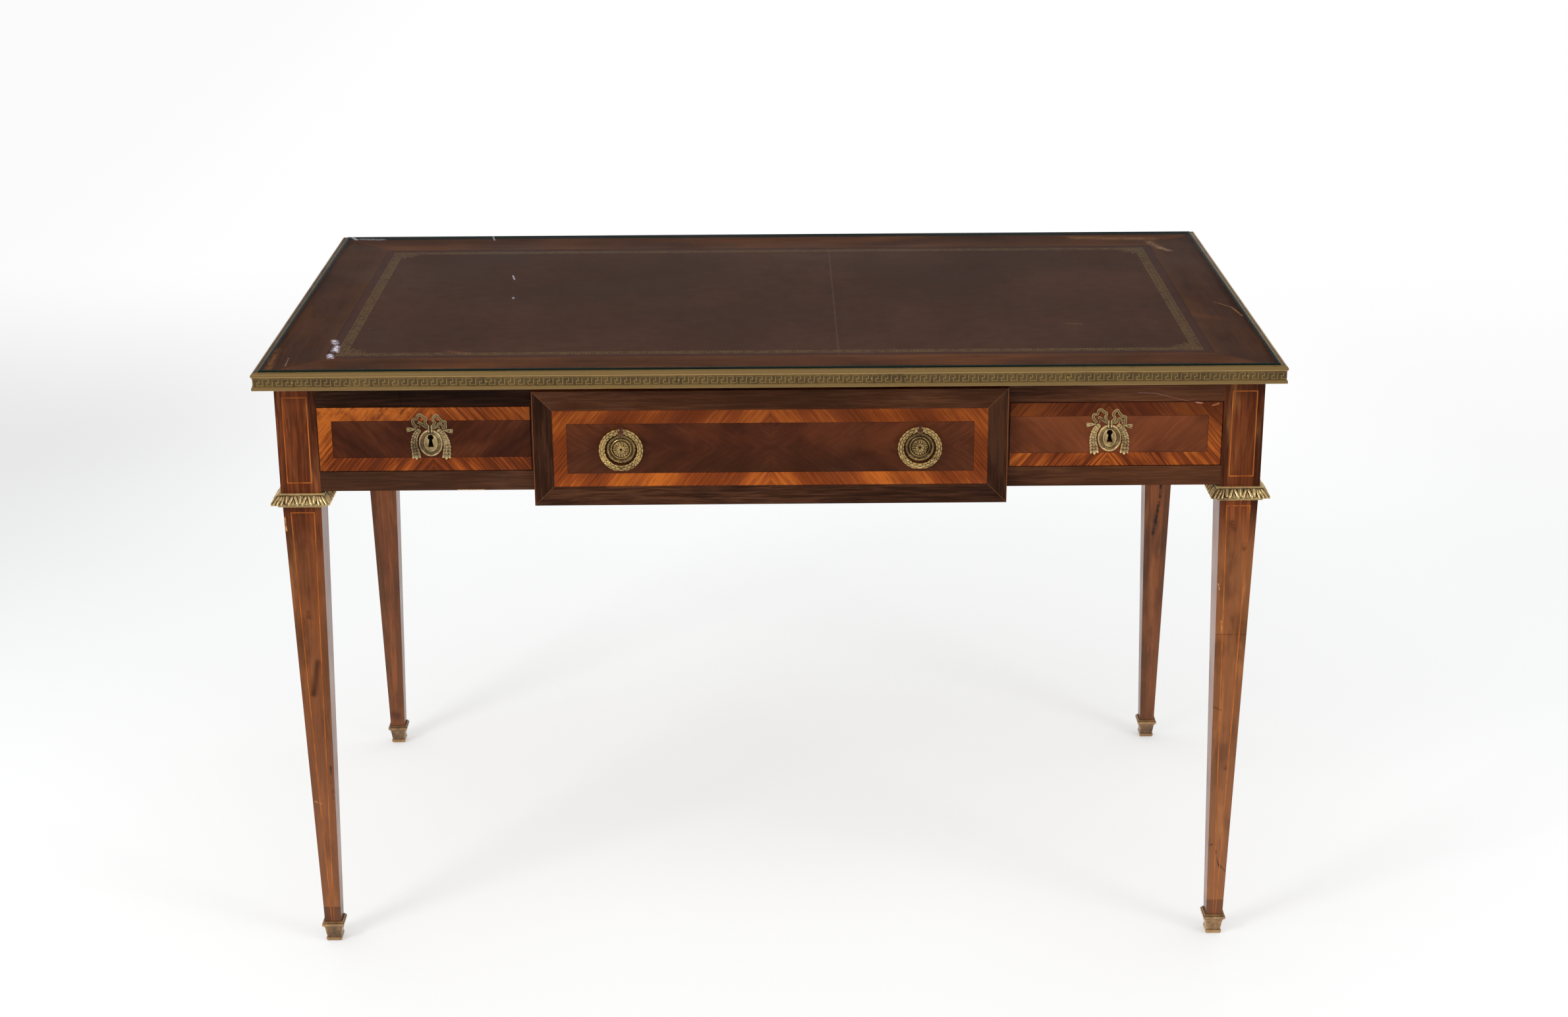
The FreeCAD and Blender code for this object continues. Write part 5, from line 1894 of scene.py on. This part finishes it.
    def build(self) -> None:
        """Makes both pulls."""
        brass = PULL_BRASS.material()
        patterns = [weigh_wear_and_shade(piece) for piece in (self.rosette(), self.eye(), self.ring())]
        rosette, eye, ring = patterns
        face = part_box("drawer_centre_field")[0].y
        rosettes, posts = [], []
        for side in ("left", "right"):
            centre = middle_of("pull_ring_" + side)
            rosettes.append(copied(rosette, stood_up(Vector((centre.x, face, centre.z)))))
            hinge = Matrix.Translation(centre) @ moved(0, 0, self.ring_radius)
            posts.append(copied(eye, hinge @ Matrix.Scale(self.eye_stretch, 4, (0, 0, 1))))
            hung = copied(ring, stood_up(centre))
            mount(hung, "brass_ring_" + side, "ring_" + side, brass, "pull_ring_" + side)
        removed(*patterns)
        mount(joined(rosettes), "brass_rosettes", "drawer_centre", brass, "pull_rosettes")
        mount(joined(posts), "brass_eye_posts", "drawer_centre", COPPERY.material(), "pull_posts")


@dataclass
class Escutcheons:
    """Openwork keyhole mounts: a rimmed oval under a ribbon bow, with tassels and garlands.

    Places are in millimetres from the middle of the keyhole's round part.
    """

    key_x: float = 403.5 * MM
    key_z: float = 677.8 * MM
    oval_width: float = 28.6
    oval_height: float = 33.2
    oval_drop: float = 7.0
    plate_steps: tuple[StrokePoint, ...] = (
        (1.0, 1.0, 1.1), (0.985, 0.987, 0.7), (0.95, 0.956, 0.4), (0.91, 0.92, 0.0), (0.87, 0.885, -0.4),
        (0.845, 0.862, -0.7), (0.8, 0.82, -0.25), (0.72, 0.76, 0.0), (0.59, 0.675, 0.0), (0.57, 0.66, 0.75),
        (0.54, 0.635, 0.35), (0.48, 0.59, 0.0), (0.44, 0.56, -0.35), (0.37, 0.5, 0.1))
    hole_radius: float = 3.6
    hole_neck: float = 1.75
    hole_foot: float = 3.5
    hole_drop: float = 12.0
    left_bow: tuple[Point, ...] = ((-2.2, 12.4), (-4.6, 15.6), (-5.6, 19.2), (-4.4, 23.2), (-7.4, 25.4),
                                   (-11.0, 27.9), (-14.2, 26.6), (-15.4, 23.2), (-19.4, 22.0),
                                   (-20.2, 18.8), (-18.6, 15.4), (-15.6, 12.2))
    right_bow: tuple[Point, ...] = ((2.2, 12.4), (4.2, 15.4), (5.6, 17.8), (3.6, 21.6), (5.6, 25.8),
                                    (8.2, 27.2), (11.0, 23.4), (14.6, 19.8), (18.2, 18.8), (18.0, 15.6),
                                    (18.4, 12.2), (16.8, 9.0))
    left_tail: tuple[Point, ...] = ((-3.0, 11.6), (-7.4, 14.6), (-11.2, 17.4), (-14.4, 18.6))
    right_tail: tuple[Point, ...] = ((3.0, 11.6), (7.2, 12.6), (11.0, 16.6), (14.8, 14.2), (15.6, 10.4))
    left_garland: tuple[Point, ...] = ((-12.4, 10.0), (-16.0, 5.6), (-18.4, 0.0), (-19.4, -6.0),
                                       (-19.0, -12.0), (-18.2, -19.6))
    right_garland: tuple[Point, ...] = ((9.0, 9.4), (13.2, 5.6), (16.2, 0.6), (18.2, -5.0), (18.8, -12.0),
                                        (18.2, -19.8))

    leaf: Stroke = ((0, 0, 0.4), (1.2, 0, 1.25), (2.6, 0, 1.35), (4.2, 0, 0.4))
    berry: Stroke = ((-0.4, 0, 0.6), (0, 0, 0.85), (0.4, 0, 0.6))
    tie: Stroke = ((1.4, -1.5, 0.5), (1.2, 0, 0.7), (1.4, 1.5, 0.5))
    clasp: Stroke = ((-4.6, 11.8, 1.0), (0, 11.4, 1.6), (4.6, 11.8, 1.0))

    def keyhole(self) -> bpy.types.Object:
        """Cutter in the keyhole's shape, a round eye over a flared slot.

        Returns:
            The cutter.
        """
        opening = math.asin(self.hole_neck / self.hole_radius)
        points = []
        for step in range(19):
            turn = -math.pi / 2 + opening + (math.tau - 2 * opening) * step / 18
            points.append((self.hole_radius * math.cos(turn), self.hole_radius * math.sin(turn)))
        points += [(-self.hole_foot, -self.hole_drop), (self.hole_foot, -self.hole_drop)]
        shape = Shape.outline("keyhole", [(x * MM, y * MM, -5 * MM) for x, y in points])
        bpy.ops.mesh.edge_face_add()
        shape.pick_all()
        shape.extrude((0, 0, 20 * MM))
        return shape.done()

    def plate(self) -> bpy.types.Object:
        """Rimmed oval with a hollow round a raised inner oval, pierced by the keyhole.

        Returns:
            The plate.
        """
        shape = Shape("plate", Primitive.CIRCLE, vertices=64, radius=MM, fill_type="NGON")
        centre = Vector((0, -self.oval_drop * MM, 0))
        shape.scale((self.oval_width / 2, self.oval_height / 2, 1))
        shape.move(centre)
        last_x = last_y = 1.0
        for share_x, share_y, lift in self.plate_steps:
            shape.extrude((0, 0, lift * MM))
            shape.scale((share_x / last_x, share_y / last_y, 1), centre)
            last_x, last_y = share_x, share_y
        shape.pick(Kind.EDGE, lambda at, _: abs(at.z) < 2 * TINY)
        bpy.ops.mesh.edge_face_add()
        plate = shape.done()
        cutter = self.keyhole()
        modify(plate, "BOOLEAN", object=cutter, operation="DIFFERENCE", solver="EXACT")
        removed(cutter)
        return plate

    def garland(self, path: Sequence[Point]) -> list[bpy.types.Object]:
        """Leaves in pairs with berries between them, growing fuller down a path.

        Args:
            path: its middle line, from the top down.
        Returns:
            Its leaves, its berries and the stem.
        """
        leaf = stroke(self.leaf, 0.7, sides=2, steps=3)
        berry = stroke(self.berry, 1.2, steps=2)
        pieces = [stroke([(x, y, 2.1 + 0.48 * number) for number, (x, y) in enumerate(path)], 0.5)]
        count = 2 * len(path) - 1
        for step in range(count):
            number, half = divmod(step, 2)
            before = Vector(path[max(number - 1, 0)])
            after = Vector(path[min(number + 1, len(path) - 1)])
            at = Vector(path[number]).lerp(after, half / 2)
            run = after - before
            heading = math.degrees(math.atan2(run.y, run.x))
            fuller = Matrix.Scale(1.05 + 0.85 * step / count, 4)
            for fan, level in ((-38, 1.1), (38, 1.1), (0, 1.6)):
                pieces.append(copied(leaf, moved(at.x, at.y, level) @ turned(heading + fan) @ fuller))
            if half:
                pieces.append(copied(berry, moved(at.x, at.y, 2.2) @ fuller))
        removed(leaf, berry)
        return pieces

    def tassel(self, x: float, y: float, length: float, angle: float) -> list[bpy.types.Object]:
        """A knotted ribbon end: a narrow neck, then ribs that fan out.

        Args:
            x: its knot, across.
            y: its knot, up.
            length: how long it is.
            angle: which way it points, in degrees.
        Returns:
            Its strokes.
        """
        neck = [(0, 0, 1.1), (length * 0.3, 0, 1.9), (length * 0.75, 0, 2.3), (length, 0, 1.2)]
        pieces = [stroke(neck, 0.6)]
        for fan in (-14, 0, 14):
            lean = math.tan(math.radians(fan))
            pieces.append(stroke([(0.6, 0, 0.5), (length * 0.45, length * 0.4 * lean, 0.8),
                                  (length, length * 0.85 * lean, 0.45)], 2.0))
        pieces.append(stroke(self.tie, 2.2))
        for piece in pieces:
            piece.data.transform(moved(x, y, 0.6) @ turned(angle))
        return pieces

    def ornament(self) -> bpy.types.Object:
        """The whole mount on the drawing plane.

        Returns:
            The mount in one mesh.
        """
        pieces = [self.plate()]
        for path, half_width, rise in ((self.left_bow, 1.7, 1.9), (self.right_bow, 1.7, 1.9),
                                       (self.left_tail, 1.6, 1.5), (self.right_tail, 1.6, 1.5)):
            pieces += ribbon(path, half_width, rise)
        for x in (-1.75, 1.75):
            pieces.append(stroke([(x, 15.2, 0.9), (x, 13.4, 1.35), (x, 8.6, 1.35), (x, 6.2, 0.9)], 2.2))
        pieces.append(stroke(self.clasp, 1.0))
        for x, y in ((-12.5, 13.5), (10.7, 12.8)):
            pieces.append(stroke([(x - 0.5, y, 1.3), (x, y, 1.8), (x + 0.5, y, 1.3)], 1.7))
        pieces += self.garland(self.left_garland) + self.garland(self.right_garland)
        pieces += self.tassel(-16.6, 10.6, 11.4, 186) + self.tassel(15.2, 8.8, 11.6, -8)
        return joined(pieces)

    def build(self) -> None:
        """Makes both mounts."""
        pattern = weigh_wear_and_shade(self.ornament())
        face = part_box("drawer_right_field")[0].y
        for side, sign, metal in (("left", -1, AGED_GILT), ("right", 1, GILT_BRASS)):
            piece = copied(pattern, stood_up(Vector((sign * self.key_x, face, self.key_z))))
            mount(piece, "brass_escutcheon_" + side, "drawer_" + side, metal.material(), "escutcheon_" + side)
        removed(pattern)


@dataclass
class Ironwork:
    """Locks and screws, which keep their CAD shapes."""

    nodes: tuple[str, ...] = ("lock_case_left", "lock_case_right", "lock_bolt_left", "lock_bolt_right",
                              "top_screws")

    def dress(self) -> None:
        """Gives the locks and screws their iron."""
        finish = IRON.material()
        for node in self.nodes:
            give(node, finish)
        LOG.info("locks and screws dressed")


# Studio

@dataclass(frozen=True)
class Lamp:
    """A square soft lamp that faces the desk."""

    name: str
    place: tuple[float, float, float]
    power: float
    size: float = 1.1

    def light(self) -> None:
        """Sets the lamp up."""
        data = bpy.data.lights.new(self.name, "AREA")
        data.size = self.size
        data.energy = self.power
        lamp = bpy.data.objects.new(self.name, data)
        aim = Vector((0, 0, 0.5)) - Vector(self.place)
        lamp.matrix_world = Matrix.Translation(self.place) @ aim.to_track_quat("-Z", "Y").to_matrix().to_4x4()
        bpy.context.scene.collection.objects.link(lamp)


@dataclass
class Studio:
    """White floor, soft lamps and the camera at the photograph's place."""

    camera_place: tuple[float, float, float] = (0.00016, -3.25561, 1.59536)
    yaw: float = 0.0053
    pitch: float = 0.33271
    roll: float = -0.00578
    lens: float = 59.186
    dark_from: float = -1.3
    white_from: float = -0.5
    plain_level: float = 0.86
    lamps: tuple[Lamp, ...] = (Lamp("key_lamp", (-2.6, -2.6, 2.8), 50.0),
                               Lamp("fill_lamp", (2.8, -2.2, 2.4), 24.0))

    def camera(self) -> None:
        """Sets the camera by the way it looks, its tilt and its lens."""
        data = bpy.data.cameras.new("photo_camera")
        data.lens = self.lens
        data.sensor_width = 36.0
        camera = bpy.data.objects.new("photo_camera", data)
        ahead = Vector((math.sin(self.yaw), math.cos(self.yaw), 0))
        forward = ahead * math.cos(self.pitch) - Vector((0, 0, math.sin(self.pitch)))
        level = Vector((math.cos(self.yaw), -math.sin(self.yaw), 0))
        above = level.cross(forward)
        right = level * math.cos(self.roll) + above * math.sin(self.roll)
        up = above * math.cos(self.roll) - level * math.sin(self.roll)
        turn = Matrix((right, up, -forward)).transposed()
        camera.matrix_world = Matrix.Translation(self.camera_place) @ turn.to_4x4()
        bpy.context.scene.collection.objects.link(camera)
        bpy.context.scene.camera = camera

    def floor(self) -> None:
        """Pale floor that keeps the desk's shadow, with painted shade towards its sides and painted light in
        front of the desk's middle.
        """
        floor = Shape("studio_floor", Primitive.PLANE, size=60.0, location=(0, 20, -0.0002)).done()
        graph = Graph.named("studio_white")
        seen = graph.rays("Camera").most(graph.rays("Transmission"))
        glossy = graph.rays("Glossy")
        x, y, _ = graph.place()
        # Painted shade: the floor greys towards its sides, behind the desk's front.
        sides = x.rise(-0.5, -1.5) * 0.2 + x.rise(0.9, 1.5) * 0.05
        painted_floor_shade = sides * y.rise(0.0, 1.2) * y.rise(3.4, 1.6) + x.rise(-1.3, -2.2) * y.rise(1.0, 3.0) * 0.035
        # Painted light: more of the white in front of the desk's middle, which lifts the desk's shadow there.
        middle = abs(x).rise(0.56, 0.16) * y.rise(0.1, -0.36)
        even = ((x * x + y * y).rise(1.2, 6.0) * 0.6 + middle * 0.36).least(0.6) + 0.4
        level = seen * (1 - painted_floor_shade) + glossy * y.rise(self.dark_from, self.white_from)
        white = graph.node("ShaderNodeEmission", None, {"Color": WHITE, "Strength": level})
        plain = graph.node("ShaderNodeBsdfDiffuse", None, {"Color": Tone(253, 255, 255)})
        floor.data.materials.append(graph.close(graph.blend(seen * even + glossy, plain, white)))

    def world(self) -> None:
        """White to the camera, bright behind and beside the desk in gloss, and a plain level otherwise."""
        world = bpy.data.worlds.new("studio")
        bpy.context.scene.world = world
        graph = Graph(world)
        camera, glossy = graph.rays("Camera"), graph.rays("Glossy")
        _, ahead, up = graph.parts("ShaderNodeTexCoord", "Generated")
        gloss = up.rise(0.24, 0.08) * ahead.rise(-0.55, -0.1) * 0.92 + 0.02
        level = camera + (1 - camera) * (glossy * gloss + (1 - glossy) * self.plain_level)
        shade = graph.node("ShaderNodeBackground", None, {"Color": WHITE, "Strength": level})
        graph.close(shade, "ShaderNodeOutputWorld")

    def build(self) -> None:
        """Sets up camera, lamps, floor and world."""
        bpy.context.scene.view_settings.view_transform = "Standard"
        self.camera()
        for lamp in self.lamps:
            lamp.light()
        self.floor()
        self.world()
        LOG.info("studio set")


def main() -> None:
    """Dresses the desk and builds its mounts in order."""
    logging.basicConfig(level=logging.INFO, format="%(message)s")
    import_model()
    Studio().build()
    Legs().dress()
    Frieze().dress()
    PlainWood().dress()
    Top().dress()
    Ironwork().dress()
    EdgeMoulding().build()
    Collars().build()
    Sabots().build()
    RingPulls().build()
    Escutcheons().build()


if __name__ == "__main__":
    main()
